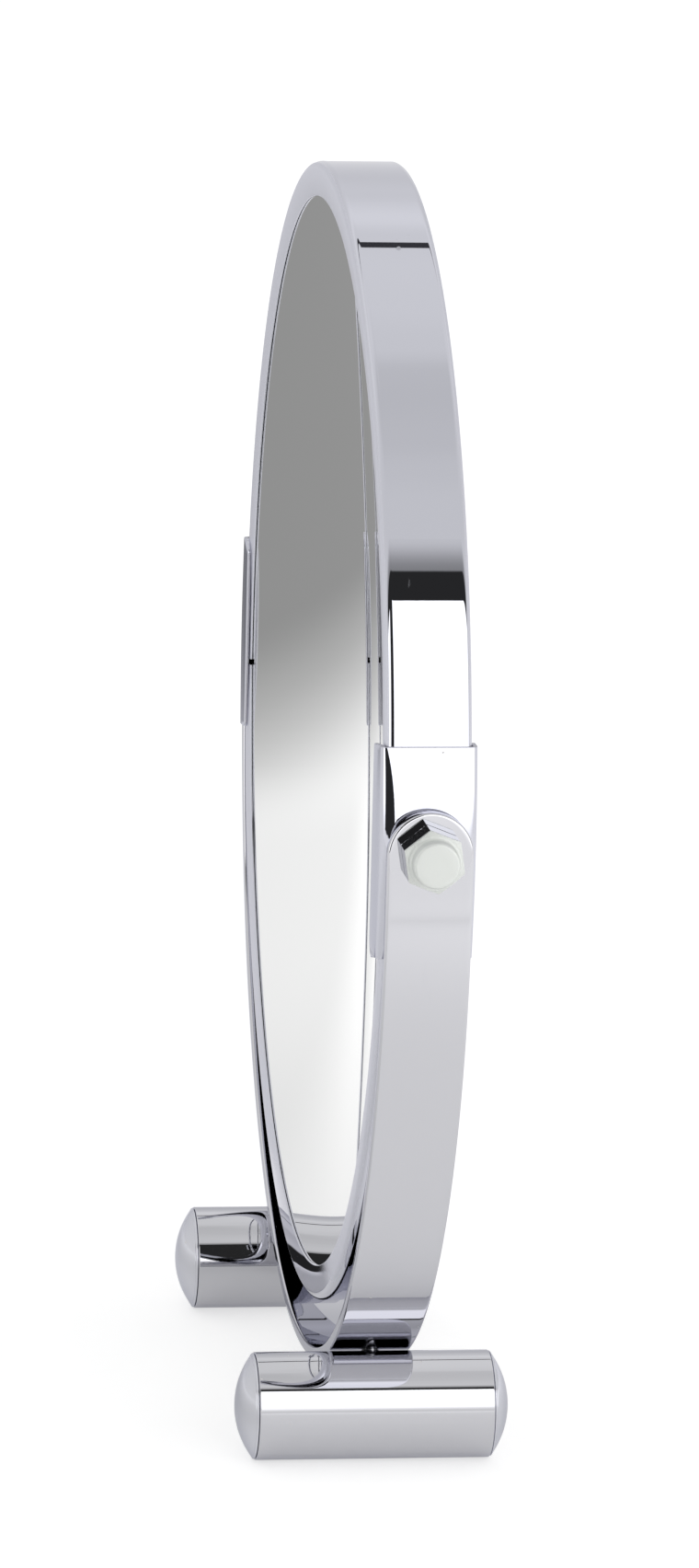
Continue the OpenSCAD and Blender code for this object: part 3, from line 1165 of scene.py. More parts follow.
    def plain_glass(self) -> bpy.types.Object:
        """Flat glass with ground edges.

        Returns:
            The glass, a profile turned about Y.
        """
        low, high = box_of("plain_glass")
        radius = (high[0] - low[0]) / 2
        r = np.linspace(0, radius - self.ground, self.glass_rings // 5)
        front = np.stack([r, low[1] + 0 * r], axis=1)
        back = np.stack([r, high[1] + 0 * r], axis=1)[::-1]
        rim = np.array([[radius, low[1] + self.ground], [radius, high[1] - self.ground]])
        profile = supported(np.concatenate([front, rim, back]), closed=False)
        return Piece("plain_glass_flat", revolve_y(profile, 0, self.pivot_z, self.glass_turns // 2),
                     wrap_rows=True).build()

    def pad(self) -> bpy.types.Object:
        """Foam pad between the glasses: flat at the back, hollow like the bent glass at the front.

        Returns:
            The pad, a profile turned about Y.
        """
        low, high = box_of("backing_pad")
        glass_low, glass_high = box_of("magnifying_glass")
        radius = (high[0] - low[0]) / 2
        sag = glass_high[1] - glass_low[1] - self.glass
        curve = sphere_radius(radius, sag)
        r = np.linspace(0, radius - self.soft, self.glass_rings // 5)
        drop = np.sqrt(curve ** 2 - r ** 2) - math.sqrt(curve ** 2 - radius ** 2)
        front = np.stack([r, low[1] + drop], axis=1)
        back = np.stack([r, high[1] + 0 * r], axis=1)[::-1]
        rim = np.array([[radius, low[1] + self.soft], [radius, (low[1] + high[1]) / 2],
                        [radius, high[1] - self.soft]])
        profile = np.concatenate([front, rim, back])
        return Piece("backing_pad_foam", revolve_y(profile, 0, self.pivot_z, self.glass_turns // 3),
                     wrap_rows=True).build()

    def clip(self, side: Side) -> bpy.types.Object:
        """Pressed clip: channel sections stacked along Z, each set out to the round of the rim.

        The web follows the rim's circle. The free edge of the flanges is straight and runs back round a
        large corner at one end and a small one at the other. Towards the middle of the clip the front bend
        swells by clip_swell * (1 - |share|^3), and the back bend by a quarter of it.

        Args:
            side: Side of the mirror.

        Returns:
            The clip.
        """
        low, high = box_of("pivot_clip_right")
        middle_z, half_len = (low[2] + high[2]) / 2, (high[2] - low[2]) / 2
        half = (high[1] - low[1]) / 2
        share = np.sin(np.linspace(-np.pi / 2, np.pi / 2, self.clip_rows))
        z = middle_z - self.pivot_z + half_len * share
        web_x = np.sqrt(high[0] ** 2 - z ** 2)
        to_low, to_high = half_len * (1 + share), half_len * (1 - share)
        large, small = (to_low, to_high) if side is Side.RIGHT else (to_high, to_low)
        rounds = ((self.clip_corner, large), (self.clip_corner_small, small))
        flange_x = low[0] + sum(size * (1 - np.sqrt(1 - np.clip(1 - room / size, 0, 1) ** 2))
                                for size, room in rounds)
        flare = self.clip_flare if side is Side.RIGHT else -self.clip_hug
        tight = self.clip_bend - self.clip_sheet / 2 + 0 * z
        swell = self.clip_swell * (1 - np.abs(share) ** 3)
        section = SheetSection(flange_x, web_x, half, self.clip_sheet, Bend(tight, tight + swell),
                               Bend(tight, tight + swell / 4), (flare, 0.0)).loop()
        points = np.concatenate([section * np.array([side.value, 1]),
                                 np.broadcast_to(z[:, None, None], (*section.shape[:2], 1))], axis=-1)
        points[..., 2] += self.pivot_z
        made = Piece(f"pivot_clip_{side.word}_pressed", points, wrap_columns=True, capped=True).build()
        round_edges(made, self.edge)
        return made


@dataclass
class PivotHardware:
    """Cap nuts, bushes and studs on the pivot axis.

    Attributes:
        pivot_z: Height of the pivot axis.
        nut_af: Width of a nut across its flats.
        nut_h: Height of a nut's hexagon.
        nut_turn: Turn of the nuts about the axis, in degrees.
        corner: Radius of the hexagon's corners.
        chamfer: Slope of the hexagon's two chamfers, in degrees.
        chamfer_start: Radius where the outer chamfer starts, as a share of the flats' distance.
        foot: Width of the chamfer at the strap.
        cap_d: Diameter of a nut's cap.
        cap_edge: Rounding of the cap's end.
        cap_foot: Fillet between cap and hexagon.
        cap_ring: Radius of the ring on the cap's flat end, as a share of the cap's.
        bore: Radius of a bush's bore.
        bush_wall: Wall of a bush's sleeve.
        bush_edge: Width of a bush's broken edges.
        bush_flange: Thickness of a bush's flange.
        turns: Number of steps round a nut.
    """

    pivot_z: float
    nut_af: float = 8.0 * MM
    nut_h: float = 4.4 * MM
    nut_turn: float = 8.7
    corner: float = 0.25 * MM
    chamfer: float = 30.0
    chamfer_start: float = 0.985
    foot: float = 0.25 * MM
    cap_d: float = 6.6 * MM
    cap_edge: float = 0.4 * MM
    cap_foot: float = 0.45 * MM
    cap_ring: float = 0.6
    bore: float = 2.55 * MM
    bush_wall: float = 1.0 * MM
    bush_edge: float = 0.15 * MM
    bush_flange: float = 0.8 * MM
    turns: int = 360

    def build(self) -> None:
        """Builds and dresses the hardware of both sides."""
        for side in Side:
            name = side.word
            dress(self.nut(side), NUT_PLATING, Body.HEAD, f"cap_nut_{name}")
            dress(self.bush(side), NYLON, Body.STAND, f"pivot_bush_{name}")
            stud = frame["nodes"][f"pivot_stud_{name}"]
            stud.data.materials.clear()
            stud.data.materials.append(STUD_STEEL.material())

    def hexagon(self, angle: Array) -> Array:
        """Radius of a hexagon with round corners, seen from its middle at each angle.

        A flat lies at apothem / cos(angle to the flat). A corner is a circle of radius corner, seen from
        the middle at distance c: c cos d + sqrt(corner^2 - c^2 sin^2 d), for the angle d to the corner.

        Args:
            angle: Angles in radians; a corner lies at 0.

        Returns:
            The radii.
        """
        apothem = self.nut_af / 2
        sixth = math.pi / 3
        off = np.abs((angle + sixth / 2) % sixth - sixth / 2)
        flat = apothem / np.cos(sixth / 2 - off)
        far = (apothem - self.corner) / math.cos(sixth / 2)
        room = np.clip(self.corner ** 2 - (far * np.sin(off)) ** 2, 0, None)
        corner = far * np.cos(off) + np.sqrt(room)
        reach = math.atan(self.corner * math.sin(sixth / 2) / (far + self.corner * math.cos(sixth / 2)))
        return np.where(off < reach, corner, flat)

    def nut(self, side: Side) -> bpy.types.Object:
        """Cap nut: a hexagon cut by a chamfer cone, with a round cap that has a flat end.

        Args:
            side: Side of the mirror.

        Returns:
            The nut, a profile turned about X whose flanks follow the hexagon's radius.
        """
        low, high = box_of("cap_nut_right")
        cap_r = self.cap_d / 2
        total = high[0] - low[0]
        turn = np.linspace(0, 2 * np.pi, self.turns, endpoint=False)
        radius = self.hexagon(turn - math.radians(90 + side.value * self.nut_turn))
        slope = math.tan(math.radians(self.chamfer))
        inner = self.nut_af / 2 * self.chamfer_start
        quarter = np.radians(np.linspace(0, 90, 9))
        fillet = self.cap_foot * (1 - np.stack([np.sin(quarter), np.cos(quarter)], axis=1))
        rim = self.cap_edge * (np.stack([np.cos(quarter), np.sin(quarter)], axis=1) - 1)
        rings = [
            (0.0, 0.0),
            (radius - self.foot, 0.0),
            (radius, self.foot * slope),
            (radius, self.nut_h - (radius - inner) * slope),
            (inner, self.nut_h),
            *(fillet + np.array([cap_r, self.nut_h])),
            *(rim + np.array([cap_r, total])),
            (cap_r * self.cap_ring, total),
            (0.0, total),
        ]
        profile = np.stack([np.stack(np.broadcast_arrays(r, low[0] + h, radius)[:2], axis=1)
                            for r, h in rings], axis=1)
        points = revolve_x(profile, self.pivot_z, self.turns)
        points[..., 0] *= side.value
        return Piece(f"cap_nut_{side.word}_plated", points, wrap_rows=True, crease=20.0).build()

    def bush(self, side: Side) -> bpy.types.Object:
        """Flanged bush with round edges.

        Args:
            side: Side of the mirror.

        Returns:
            The bush, a closed profile turned about X.
        """
        low, high = box_of("pivot_bush_right")
        flange_r = (high[1] - low[1]) / 2
        bore, sleeve, e = self.bore, self.bore + self.bush_wall, self.bush_edge
        seat = low[0] + self.bush_flange
        corners = np.array([
            [bore, low[0] + e], [bore + e, low[0]], [flange_r - e, low[0]], [flange_r, low[0] + e],
            [flange_r, seat - e], [flange_r - e, seat], [sleeve, seat], [sleeve, high[0] - e],
            [sleeve - e, high[0]], [bore + e, high[0]], [bore, high[0] - e],
        ])
        points = revolve_x(supported(corners), self.pivot_z, self.turns // 3)
        points[..., 0] *= side.value
        return Piece(f"pivot_bush_{side.word}_moulded", points, wrap_rows=True, wrap_columns=True).build()


@dataclass
class Stand:
    """The bent strap and its two feet.

    Attributes:
        pivot_z: Height of the pivot axis.
        thick: Thickness of the strap.
        edge: Edge radius of the strap.
        arc_steps: Number of sections round the strap's half circle.
        leg_steps: Number of sections along a leg.
        end_steps: Number of sections round a leg's end.
        tube_wall: Wall of a foot tube.
        tube_edge: Rounding of a tube's outer edges.
        tube_turns: Number of steps round a tube.
        cap_lip: Height of a cap's straight lip.
        cap_edge: Rounding between lip and dome.
        cap_gap: Gap between cap and tube.
        seam_rise: Height over the tube at which the chamfer that shows as the dark seam starts.
        seam_in: Depth of this chamfer.
        plug_in: Distance of the plug from the cap's outside.
        plug_wall: Wall of the plug.
        weld_reach: How far a weld reaches into the wedge, to either side.
        weld_width: Half of its mean width along the tube.
        weld_bite: How deep it bites into strap and tube.
        arc_z: Height of the middle of the strap's half circle, set by strap().
        arc_r: Radius of the half circle's middle line, set by strap().
    """

    pivot_z: float
    thick: float = 1.8 * MM
    edge: float = 0.35 * MM
    arc_steps: int = 520
    leg_steps: int = 12
    end_steps: int = 40
    tube_wall: float = 1.0 * MM
    tube_edge: float = 0.12 * MM
    tube_turns: int = 288
    cap_lip: float = 0.5 * MM
    cap_edge: float = 0.4 * MM
    cap_gap: float = 0.02 * MM
    seam_rise: float = 0.16 * MM
    seam_in: float = 0.2 * MM
    plug_in: float = 0.9 * MM
    plug_wall: float = 1.2 * MM
    weld_reach: float = 4.0 * MM
    weld_width: float = 1.0 * MM
    weld_bite: float = 0.06 * MM
    arc_z: float = field(init=False, default=0.0)
    arc_r: float = field(init=False, default=0.0)

    def build(self) -> None:
        """Builds and dresses the strap, tubes, caps and welds."""
        dress(self.strap(), STRAP_CHROME, Body.STAND, "stand_strap")
        for side in Side:
            name = side.word
            dress(self.tube(side), TUBE_CHROME, Body.STAND, f"foot_tube_{name}")
            dress(self.weld(side), WELD_METAL, Body.STAND, f"foot_weld_{name}")
            for end in End:
                dress(self.cap(side, end), CAP_CHROME, Body.STAND, f"foot_cap_{end.word}_{name}")

    def strap_section(self, width: float) -> Array:
        """Loop of a rounded rectangle, as reach from the middle, share of the width, and height.

        Args:
            width: Half of the strap's width.

        Returns:
            Rows (reach, share, height), shape (n, 3).
        """
        turn = np.radians(np.linspace(-90, 90, 15))
        rise = self.thick / 2 - self.edge
        reach = width - self.edge * (1 - np.cos(turn))
        height = np.sign(turn) * rise + self.edge * np.sin(turn)
        edge = np.stack([reach, 1 + 0 * turn, height], axis=1)
        share = np.linspace(1, -1, 25)[1:-1]
        top = np.stack([width - self.edge + 0 * share, share, self.thick / 2 + 0 * share], axis=1)
        other = edge[::-1] * np.array([1, -1, 1])
        bottom = top[::-1] * np.array([1, 1, -1])
        return np.concatenate([edge, top, other, bottom])

    def strap(self) -> bpy.types.Object:
        """Strap: its section carried along a half circle and two legs with ends rounded about the pivot.

        Along a rounded end the reach of the section splits into reach * cos a along the path and
        reach * sin a across it, so every layer of the edge closes in its own half circle.

        Returns:
            The strap.
        """
        low, high = box_of("stand_strap")
        width = (high[1] - low[1]) / 2
        self.arc_r = high[0] - self.thick / 2
        self.arc_z = low[2] + high[0]
        quarter = self.arc_r * math.pi / 2
        leg = self.pivot_z - self.arc_z
        turn = np.linspace(0, np.pi / 2, self.end_steps)
        middle = np.concatenate([
            -np.linspace(quarter + leg, quarter, self.leg_steps)[1:],
            np.linspace(-quarter, quarter, self.arc_steps)[1:-1],
            np.linspace(quarter, quarter + leg, self.leg_steps)[:-1],
        ])
        start, stop = -(quarter + leg), quarter + leg
        along = np.concatenate([start + 0 * turn, middle, stop + 0 * turn])
        ahead = np.concatenate([-np.cos(turn), 0 * middle, np.cos(turn[::-1])])
        across = np.concatenate([np.sin(turn), 1 + 0 * middle, np.sin(turn[::-1])])
        section = self.strap_section(width)
        reach, share, height = section.T
        s = along[:, None] + ahead[:, None] * reach[None]
        y = across[:, None] * (reach * share)[None]
        h = height[None] + 0 * s
        bend = np.clip(s, -quarter, quarter)
        angle = bend / self.arc_r - np.pi / 2
        x = (self.arc_r + h) * np.cos(angle)
        z = self.arc_z + (self.arc_r + h) * np.sin(angle) + np.abs(s - bend)
        points = np.stack([x, y, z], axis=-1)
        return Piece("stand_strap_bent", points, wrap_columns=True).build()

    def tube(self, side: Side) -> bpy.types.Object:
        """Open tube with broken edges.

        Args:
            side: Side of the stand.

        Returns:
            The tube, a closed profile turned about Y.
        """
        low, high = box_of(f"foot_tube_{side.word}")
        outer = (high[0] - low[0]) / 2
        inner = outer - self.tube_wall
        e = self.tube_edge
        quarter = np.radians(np.linspace(0, 90, 5))
        front = np.stack([outer - e + e * np.sin(quarter), low[1] + e - e * np.cos(quarter)], axis=1)
        back = np.stack([outer - e + e * np.cos(quarter), high[1] - e + e * np.sin(quarter)], axis=1)
        bore = np.array([[inner, high[1]], [inner, low[1]]])
        profile = supported(np.concatenate([front, back, bore]))
        points = revolve_y(profile, (low[0] + high[0]) / 2, (low[2] + high[2]) / 2, self.tube_turns)
        return Piece(f"foot_tube_{side.word}_drawn", points, wrap_rows=True, wrap_columns=True).build()

    def cap(self, side: Side, end: End) -> bpy.types.Object:
        """Domed cap with a straight lip and a hollow plug.

        Args:
            side: Side of the stand.
            end: End of the tube.

        Returns:
            The cap, a profile from the dome's tip to the bottom of the plug turned about Y.
        """
        node = f"foot_cap_{end.word}_{side.word}"
        low, high = box_of(node)
        _, tube_high = box_of(f"foot_tube_{side.word}")
        radius = (high[0] - low[0]) / 2
        seam = tube_high[1]
        tip, plug_end = (high[1], low[1]) if end is End.BACK else (-low[1], -high[1])
        lip = seam + self.cap_lip
        run = radius - self.cap_edge
        curve = sphere_radius(run, tip - lip)
        top = math.asin(run / curve)
        sweep = np.linspace(0, top, 40)
        crown = np.stack([curve * np.sin(sweep), tip - curve + curve * np.cos(sweep)], axis=1)
        turn = np.linspace(math.pi / 2 - top, 0, 8)[1:]
        share = (np.cos(turn) - np.cos(turn[0])) / (1 - np.cos(turn[0]))
        corner = np.stack([run + self.cap_edge * share, lip + self.cap_edge * (np.sin(turn) - math.cos(top))],
                          axis=1)
        plug_r = radius - self.plug_in
        bore_r = plug_r - self.plug_wall
        under = seam + self.cap_gap
        rest = np.array([[radius, seam + self.seam_rise], [radius - self.seam_in, under], [plug_r, under],
                         [plug_r, plug_end], [bore_r, plug_end], [bore_r, under], [0, under]])
        profile = supported(np.concatenate([crown, corner, rest]), closed=False)
        profile[:, 1] *= end.value
        points = revolve_y(profile, (low[0] + high[0]) / 2, (low[2] + high[2]) / 2, self.tube_turns // 2)
        return Piece(f"{node}_moulded", points, wrap_rows=True).build()

    def weld(self, side: Side) -> bpy.types.Object:
        """Weld nugget squeezed into the wedge between strap and tube.

        Its height at distance d from the line of contact is the gap d^2 / 2 * (1 / tube + 1 / strap) plus
        the bite, its width falls off towards both ends, and a sum of sines makes it uneven.

        Args:
            side: Side of the stand.

        Returns:
            The nugget.
        """
        tube_low, tube_high = box_of(f"foot_tube_{side.word}")
        tube_r = (tube_high[0] - tube_low[0]) / 2
        strap_r = self.arc_r + self.thick / 2
        foot_x = (tube_low[0] + tube_high[0]) / 2
        foot_z = (tube_low[2] + tube_high[2]) / 2
        away = np.array([foot_x, 0, foot_z - self.arc_z])
        distance = np.linalg.norm(away)
        away = away / distance
        tangent = np.array([-away[2], 0, away[0]]) * side.value
        share = np.sin(np.linspace(-np.pi / 2, np.pi / 2, 61))
        u = share * self.weld_reach
        mid_gap = (distance - strap_r - tube_r) / 2
        half_gap = mid_gap + u ** 2 / 4 * (1 / tube_r + 1 / strap_r) + self.weld_bite
        lump = 1 + 0.18 * np.sin(5.3 * share + 1) + 0.12 * np.sin(11.7 * share)
        half_width = self.weld_width * lump * np.sqrt(1 - share ** 2)
        turn = np.linspace(0, 2 * np.pi, 48, endpoint=False)
        wobble = 1 + 0.08 * np.sin(3 * turn[None] + 6 * share[:, None]) + 0.05 * np.sin(7 * turn[None])
        y = half_width[:, None] * np.cos(turn)[None] * wobble
        v = (half_gap * np.sqrt(1 - share ** 8))[:, None] * np.sin(turn)[None]
        bow = -(u ** 2)[:, None] / 4 * (1 / strap_r - 1 / tube_r)
        centre = np.array([0, 0, self.arc_z]) + away * (strap_r + mid_gap)
        points = (centre + u[:, None, None] * tangent + (v + bow)[..., None] * away
                  + y[..., None] * np.array([0, 1, 0]))
        return Piece(f"foot_weld_{side.word}_nugget", points, wrap_columns=True).build()


@dataclass
class Studio:
    """Camera, floor, reflector panel and sky.

    Attributes:
        camera_place: Place of the camera.
        yaw: Turn of the view from -X towards +Y, in degrees.
        pitch: Rise of the view, in degrees.
        roll: Roll of the view, in degrees.
        lens: Focal length in millimetres on a 36 mm long side.
        floor_half: Half of the floor's side.
        floor_shade: Colour of the floor under the lamps.
        floor_glow: Light of the floor as the camera sees it.
        under_shadow_reach: Distances from the middle over which the painted shadow of the stand in the
            floor's tone fades.
        under_shadow_fall: How much darker gloss shows the floor in the middle, as a painted shadow of the
            stand.
        open_reach: Distances from the middle over which the floor opens to its full light, where the painted
            shadow ends.
        open_rise: Light that it gains there.
        front_edge: Y over which the floor in front of the mirror begins.
        front_shade_fall: How much darker gloss shows the floor in front, as painted shade.
        camera_edge: X over which the floor towards the camera begins.
        camera_fall: How much darker gloss shows the floor there.
        patch_slant: Share of Y in the slanted distance that shades the grey patch.
        patch_far: Slanted distance over which the patch leaves its darkest tone.
        patch_close: Slanted distance over which it reaches white.
        patch_dark: Light of its darkest tone.
        patch_grey: Light of its middle tone.
        patch_x: X over which the patch ends, at its far and at its near side.
        patch_y: Y over which it ends, at its front and at its back.
        panel_x: X of the panel.
        panel_low_y: Y of the panel's front border.
        panel_card_y: Y below which the panel is white.
        panel_high_y: Y of its back border.
        panel_split_y: Y above which it is white.
        panel_soft: Half width of the borders of the white.
        panel_sharp: Half width of the borders across them.
        panel_foot: Height of the panel's lower border.
        panel_plain: Height up to which the whole width shines.
        panel_plain_light: Light of this strip.
        panel_rise: Heights over which the white gains its full light.
        panel_low_light: Light of the white at its foot.
        panel_light: Light of the white above.
        panel_base: Light of the dark opening.
        panel_top: Height of the upper border.
        white_top: Height at which the white ends.
        step_z: Heights over which the upper edge first brightens.
        step_light: Light that it gains there.
        fade_z: Heights over which it brightens further.
        fade_light: Light that it gains there.
        front_sky: Brightness of the sky on the camera's side, by height in degrees.
        back_sky: Brightness of the sky behind the mirror, by height in degrees.
        sky_turn: Cosines of the heading between which the one sky turns into the other.
        seam_height: Height of the thin seam in the sky, in degrees.
        seam_half: Half widths of the seam, dark and with its borders, in degrees.
        seam_turn: Cosines of the heading between which the seam ends.
        seam_colour: Colour of the seam.
    """

    camera_place: tuple[float, float, float] = (1.15883, -0.15322, 0.33541)
    yaw: float = 7.534
    pitch: float = -11.696
    roll: float = 1.405
    lens: float = 180.83
    floor_half: float = 8.0
    floor_shade: float = 0.6
    floor_glow: float = 0.56
    # Painted shadow of the stand, in the glow that gloss sees on the floor.
    under_shadow_reach: tuple[float, float] = (0.0, 0.075)
    under_shadow_fall: float = 0.33
    open_reach: tuple[float, float] = (0.06, 0.33)
    open_rise: float = 0.17
    front_edge: tuple[float, float] = (-0.05, -0.015)
    # Painted shade in front of the mirror, in the glow that gloss sees.
    front_shade_fall: float = 0.16
    camera_edge: tuple[float, float] = (0.06, 0.2)
    camera_fall: float = 0.06
    patch_slant: float = 0.645
    patch_far: tuple[float, float] = (-0.72, -0.60)
    patch_close: tuple[float, float] = (-0.64, -0.46)
    patch_dark: float = 0.3
    patch_grey: float = 0.48
    patch_x: tuple[tuple[float, float], ...] = ((-1.30, -1.18), (-0.48, -0.40))
    patch_y: tuple[tuple[float, float], ...] = ((-0.33, -0.26), (0.05, 0.11))
    panel_x: float = 0.38
    panel_low_y: float = -0.60
    panel_card_y: float = -0.22
    panel_high_y: float = 0.5
    panel_split_y: float = -0.003
    panel_soft: float = 0.004
    panel_sharp: float = 0.001
    panel_foot: float = 0.036
    panel_plain: float = 0.05
    panel_plain_light: float = 1.02
    panel_rise: tuple[float, float] = (0.036, 0.085)
    panel_low_light: float = 1.05
    panel_light: float = 1.9
    panel_base: float = 0.03
    panel_top: float = 0.5
    white_top: float = 0.362
    step_z: tuple[float, float] = (0.418, 0.424)
    step_light: float = 0.3
    fade_z: tuple[float, float] = (0.42, 0.5)
    fade_light: float = 0.48
    front_sky: tuple[tuple[float, float], ...] = (
        (0, 0.9), (45, 0.84), (56, 0.84), (63, 0.81), (69, 0.77), (78, 0.75), (90, 0.82))
    back_sky: tuple[tuple[float, float], ...] = (
        (0, 0.8), (19, 0.76), (31, 0.84), (44, 0.99), (51, 0.9), (62, 0.93), (74, 0.92), (82, 0.88),
        (90, 0.82))
    sky_turn: tuple[float, float] = (-0.4, 0.4)
    seam_height: float = 54.4
    seam_half: tuple[float, float] = (0.85, 1.15)
    seam_turn: tuple[float, float] = (-0.92, -0.7)
    seam_colour: tuple[float, float, float, float] = (0.05, 0.05, 0.055, 1.0)

    def build(self) -> None:
        """Builds the whole studio."""
        self.camera()
        self.floor()
        self.panel()
        self.sky()
        bpy.context.scene.view_settings.view_transform = "Standard"

    def camera(self) -> None:
        """Places the camera where the photograph was taken from."""
        yaw, pitch, roll = (math.radians(a) for a in (self.yaw, self.pitch, self.roll))
        ahead = np.array([-math.cos(yaw) * math.cos(pitch), math.sin(yaw) * math.cos(pitch), math.sin(pitch)])
        flat_right = np.array([math.sin(yaw), math.cos(yaw), 0.0])
        flat_up = np.cross(flat_right, ahead)
        right = flat_right * math.cos(roll) + flat_up * math.sin(roll)
        up = flat_up * math.cos(roll) - flat_right * math.sin(roll)
        data = bpy.data.cameras.new("camera")
        data.lens = self.lens
        data.sensor_width = 36.0
        data.clip_start = 0.05
        data.clip_end = 50.0
        made = bpy.data.objects.new("camera", data)
        turn = Matrix([[right[i], up[i], -ahead[i]] for i in range(3)]).to_4x4()
        turn.translation = self.camera_place
        made.matrix_world = turn
        bpy.context.scene.collection.objects.link(made)
        bpy.context.scene.camera = made

    def plane(self, name: str, corners: list[tuple[float, float, float]]) -> bpy.types.Object:
        """Makes a staged plane from its four corners.

        Args:
            name: Name of the plane.
            corners: Its corners in order.

        Returns:
            The plane.
        """
        mesh = bpy.data.meshes.new(name)
        mesh.from_pydata(corners, [], [(0, 1, 2, 3)])
        made = bpy.data.objects.new(name, mesh)
        bpy.context.scene.collection.objects.link(made)
        material = bpy.data.materials.new(name)
        material.use_nodes = True
        material.node_tree.nodes.clear()
        mesh.materials.append(material)
        return made

    def floor(self) -> None:
        """Pale floor that keeps the shadow, in the tones that gloss shows.

        To the camera it has one tone. To gloss its glow holds a painted shadow: it is darker under the stand
        and in front of the mirror. It is also darker towards the camera, and a grey patch lies on it behind
        the mirror.
        """
        far = self.floor_half
        made = self.plane("floor", [(-far, -far, 0), (far, -far, 0), (far, far, 0), (-far, far, 0)])
        graph = Graph(made.data.materials[0].node_tree)
        place = graph.add("ShaderNodeNewGeometry").outputs["Position"]
        parts = graph.add("ShaderNodeSeparateXYZ", {0: place}).outputs
        x, y = parts["X"], parts["Y"]
        diffuse = graph.add("ShaderNodeBsdfDiffuse", {"Color": (*(self.floor_shade,) * 3, 1.0)})
        path = graph.add("ShaderNodeLightPath").outputs
        camera, glossy = path["Is Camera Ray"], path["Is Glossy Ray"]
        shown = graph.math("MAXIMUM", camera, graph.math("MAXIMUM", glossy, path["Is Transmission Ray"]))
        reach = graph.add("ShaderNodeVectorMath", {0: place}, operation="LENGTH").outputs["Value"]
        # Painted shadow: the glow that gloss sees is darker under the stand and fades out away from it.
        under = graph.blend(graph.ramp(reach, *self.under_shadow_reach), self.floor_glow - self.under_shadow_fall,
                            self.floor_glow - self.open_rise)
        tone = graph.math("MULTIPLY_ADD", graph.ramp(reach, *self.open_reach), self.open_rise, under)
        ahead = graph.rest(graph.ramp(y, *self.front_edge))
        # Painted shade: the glow that gloss sees is darker in front of the mirror.
        tone = graph.math("MULTIPLY_ADD", ahead, -self.front_shade_fall, tone)
        tone = graph.math("MULTIPLY_ADD", graph.ramp(x, *self.camera_edge), -self.camera_fall, tone)
        light = graph.glow(graph.blend(camera, graph.math("MULTIPLY", shown, tone), self.floor_glow))
        plain = graph.add("ShaderNodeAddShader", {0: diffuse.outputs[0], 1: light})
        slanted = graph.math("MULTIPLY_ADD", y, self.patch_slant, x)
        close = graph.blend(graph.ramp(slanted, *self.patch_close), self.patch_grey, 1.0)
        patch = graph.glow(graph.blend(graph.ramp(slanted, *self.patch_far), self.patch_dark, close))
        beyond, close_by = graph.rest(graph.ramp(x, *self.patch_x[0])), graph.ramp(x, *self.patch_x[1])
        beside = graph.math("MAXIMUM", graph.ramp(y, *self.patch_y[1]),
                            graph.rest(graph.ramp(y, *self.patch_y[0])))
        outside = graph.math("MAXIMUM", graph.math("MAXIMUM", beyond, beside), close_by)
        inside = graph.math("MULTIPLY", glossy, graph.rest(outside))
        both = graph.add("ShaderNodeMixShader", {0: inside, 1: plain.outputs[0], 2: patch})
        graph.add("ShaderNodeOutputMaterial", {"Surface": both.outputs[0]})

    def panel(self) -> None:
        """Upright panel beside the camera, which gloss shows and the camera doesn't.

        It is white at its back and far in front, with a dark opening between. A plain strip runs along its
        foot, and its upper edge brightens softly.
        """
        x, low, high, top = self.panel_x, self.panel_low_y, self.panel_high_y, self.panel_top
        foot, soft, sharp = self.panel_foot, self.panel_soft, self.panel_sharp
        made = self.plane("reflector_panel", [(x, low, foot), (x, high, foot), (x, high, top), (x, low, top)])
        made.visible_camera = False
        graph = Graph(made.data.materials[0].node_tree)
        place = graph.add("ShaderNodeNewGeometry").outputs["Position"]
        parts = graph.add("ShaderNodeSeparateXYZ", {0: place}).outputs
        y, z = parts["Y"], parts["Z"]
        card = graph.ramp(y, self.panel_card_y + soft, self.panel_card_y - soft)
        behind = graph.ramp(y, self.panel_split_y - soft, self.panel_split_y + soft)
        beside = graph.math("MAXIMUM", behind, card)
        below = graph.rest(graph.ramp(z, self.white_top - sharp, self.white_top + sharp))
        rise = graph.blend(graph.ramp(z, *self.panel_rise), self.panel_low_light, self.panel_light)
        white = graph.math("MULTIPLY", graph.math("MULTIPLY", beside, below), rise)
        step = graph.math("MULTIPLY", graph.ramp(z, *self.step_z), self.step_light)
        fade = graph.math("MULTIPLY_ADD", graph.ramp(z, *self.fade_z), self.fade_light, step)
        above = graph.ramp(z, self.panel_plain - sharp, self.panel_plain + sharp)
        plain = graph.math("SUBTRACT", self.panel_plain_light,
                           graph.math("MULTIPLY", above, self.panel_plain_light))
        shine = graph.math("MAXIMUM", graph.math("MAXIMUM", white, plain), fade)
        light = graph.glow(graph.math("ADD", shine, self.panel_base))
        graph.add("ShaderNodeOutputMaterial", {"Surface": light})

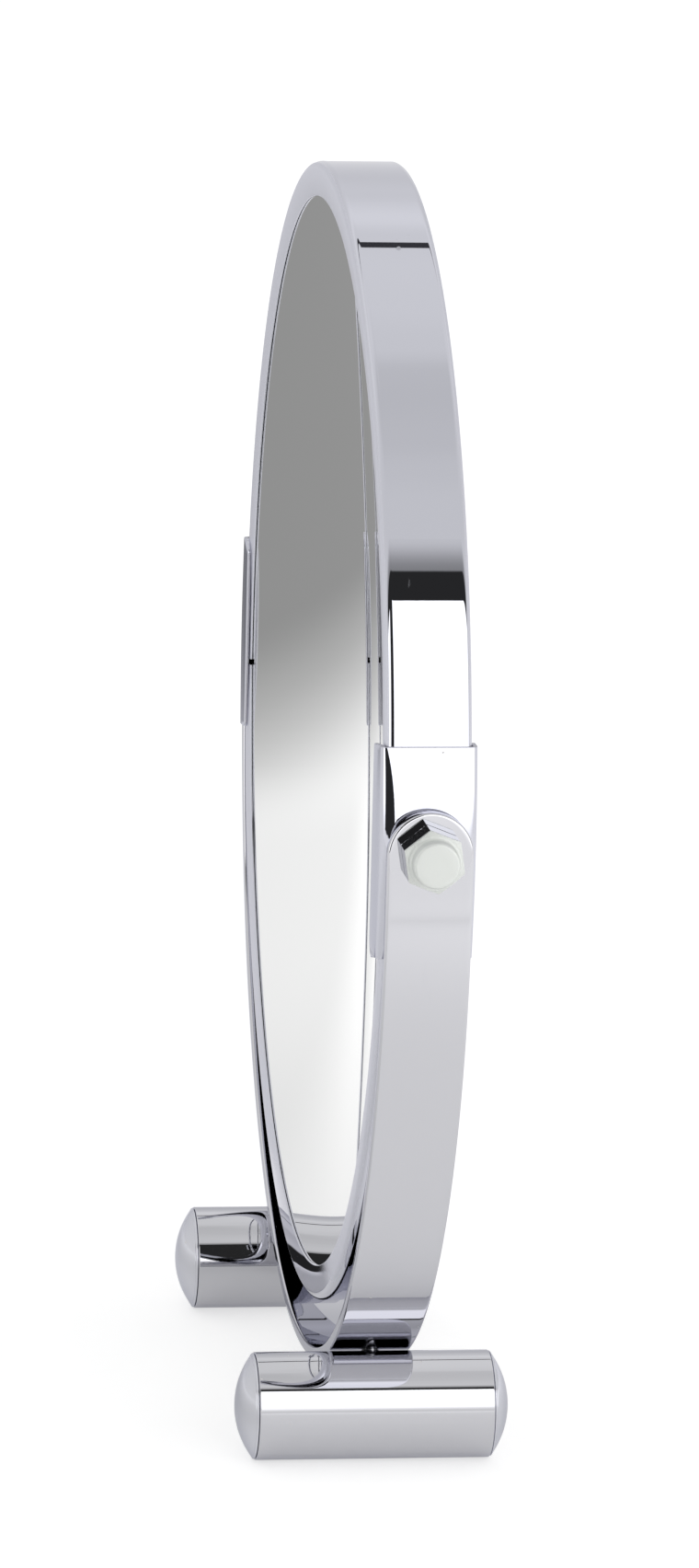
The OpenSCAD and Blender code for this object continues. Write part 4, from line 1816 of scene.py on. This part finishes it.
    def sky(self) -> None:
        """Soft tent of light: one run of greys over the camera's side, another behind, and a thin seam."""
        world = bpy.data.worlds.new("studio")
        bpy.context.scene.world = world
        world.use_nodes = True
        world.node_tree.nodes.clear()
        graph = Graph(world.node_tree)
        ray = graph.add("ShaderNodeTexCoord").outputs["Generated"]
        parts = graph.add("ShaderNodeSeparateXYZ", {0: ray}).outputs
        x, y, z = parts["X"], parts["Y"], parts["Z"]
        height = graph.math("DIVIDE", graph.math("ARCSINE", z), math.pi / 2)
        squares = graph.math("ADD", graph.math("MULTIPLY", x, x), graph.math("MULTIPLY", y, y))
        flat = graph.math("SQRT", squares)
        facing = graph.math("DIVIDE", x, graph.math("MAXIMUM", flat, 0.0001))
        front = self.greys(graph, height, self.front_sky)
        back = self.greys(graph, height, self.back_sky)
        tent = graph.mix(graph.ramp(facing, *self.sky_turn), back, front)
        off = graph.math("ABSOLUTE", graph.math("SUBTRACT", height, self.seam_height / 90))
        thin = graph.rest(graph.ramp(off, *(half / 90 for half in self.seam_half)))
        seam = graph.math("MULTIPLY", thin, graph.rest(graph.ramp(facing, *self.seam_turn)))
        dark = graph.mix(seam, tent, self.seam_colour)
        shown = graph.mix(graph.add("ShaderNodeLightPath").outputs["Is Camera Ray"], dark, WHITE)
        light = graph.add("ShaderNodeBackground", {"Color": shown, "Strength": 1.0})
        graph.add("ShaderNodeOutputWorld", {"Surface": light.outputs[0]})

    def greys(self, graph: Graph, height: bpy.types.NodeSocket,
              stops: tuple[tuple[float, float], ...]) -> bpy.types.NodeSocket:
        """Run of greys over the height above the horizon.

        Args:
            graph: Graph of the world.
            height: Height above the horizon, from 0 to 1 at the zenith.
            stops: Pairs of height in degrees and brightness.

        Returns:
            The colour socket.
        """
        node = graph.add("ShaderNodeValToRGB", {"Fac": height})
        ramp = node.color_ramp
        ramp.interpolation = "EASE"
        for degrees, shade in stops[1:-1]:
            ramp.elements.new(degrees / 90).color = (shade, shade, shade, 1)
        for element, (_, shade) in ((ramp.elements[0], stops[0]), (ramp.elements[-1], stops[-1])):
            element.color = (shade, shade, shade, 1)
        return node.outputs["Color"]


def corners(bounds: tuple) -> list[list[float]]:
    """Gives a box's two corners as plain lists."""
    return [list(corner) for corner in bounds]


def main() -> None:
    """Builds the dressed mirror and its studio."""
    logging.basicConfig(level=logging.INFO, format="%(name)s: %(message)s")
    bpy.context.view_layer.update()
    tilt = frame["joints"][0]
    pivot_z = tilt["pos_m"][2]
    LOG.info("joint %s at height %.5f", tilt["name"], pivot_z)
    MirrorHead(pivot_z).build()
    PivotHardware(pivot_z).build()
    Stand(pivot_z).build()
    Studio().build()


if __name__ == "__main__":
    main()
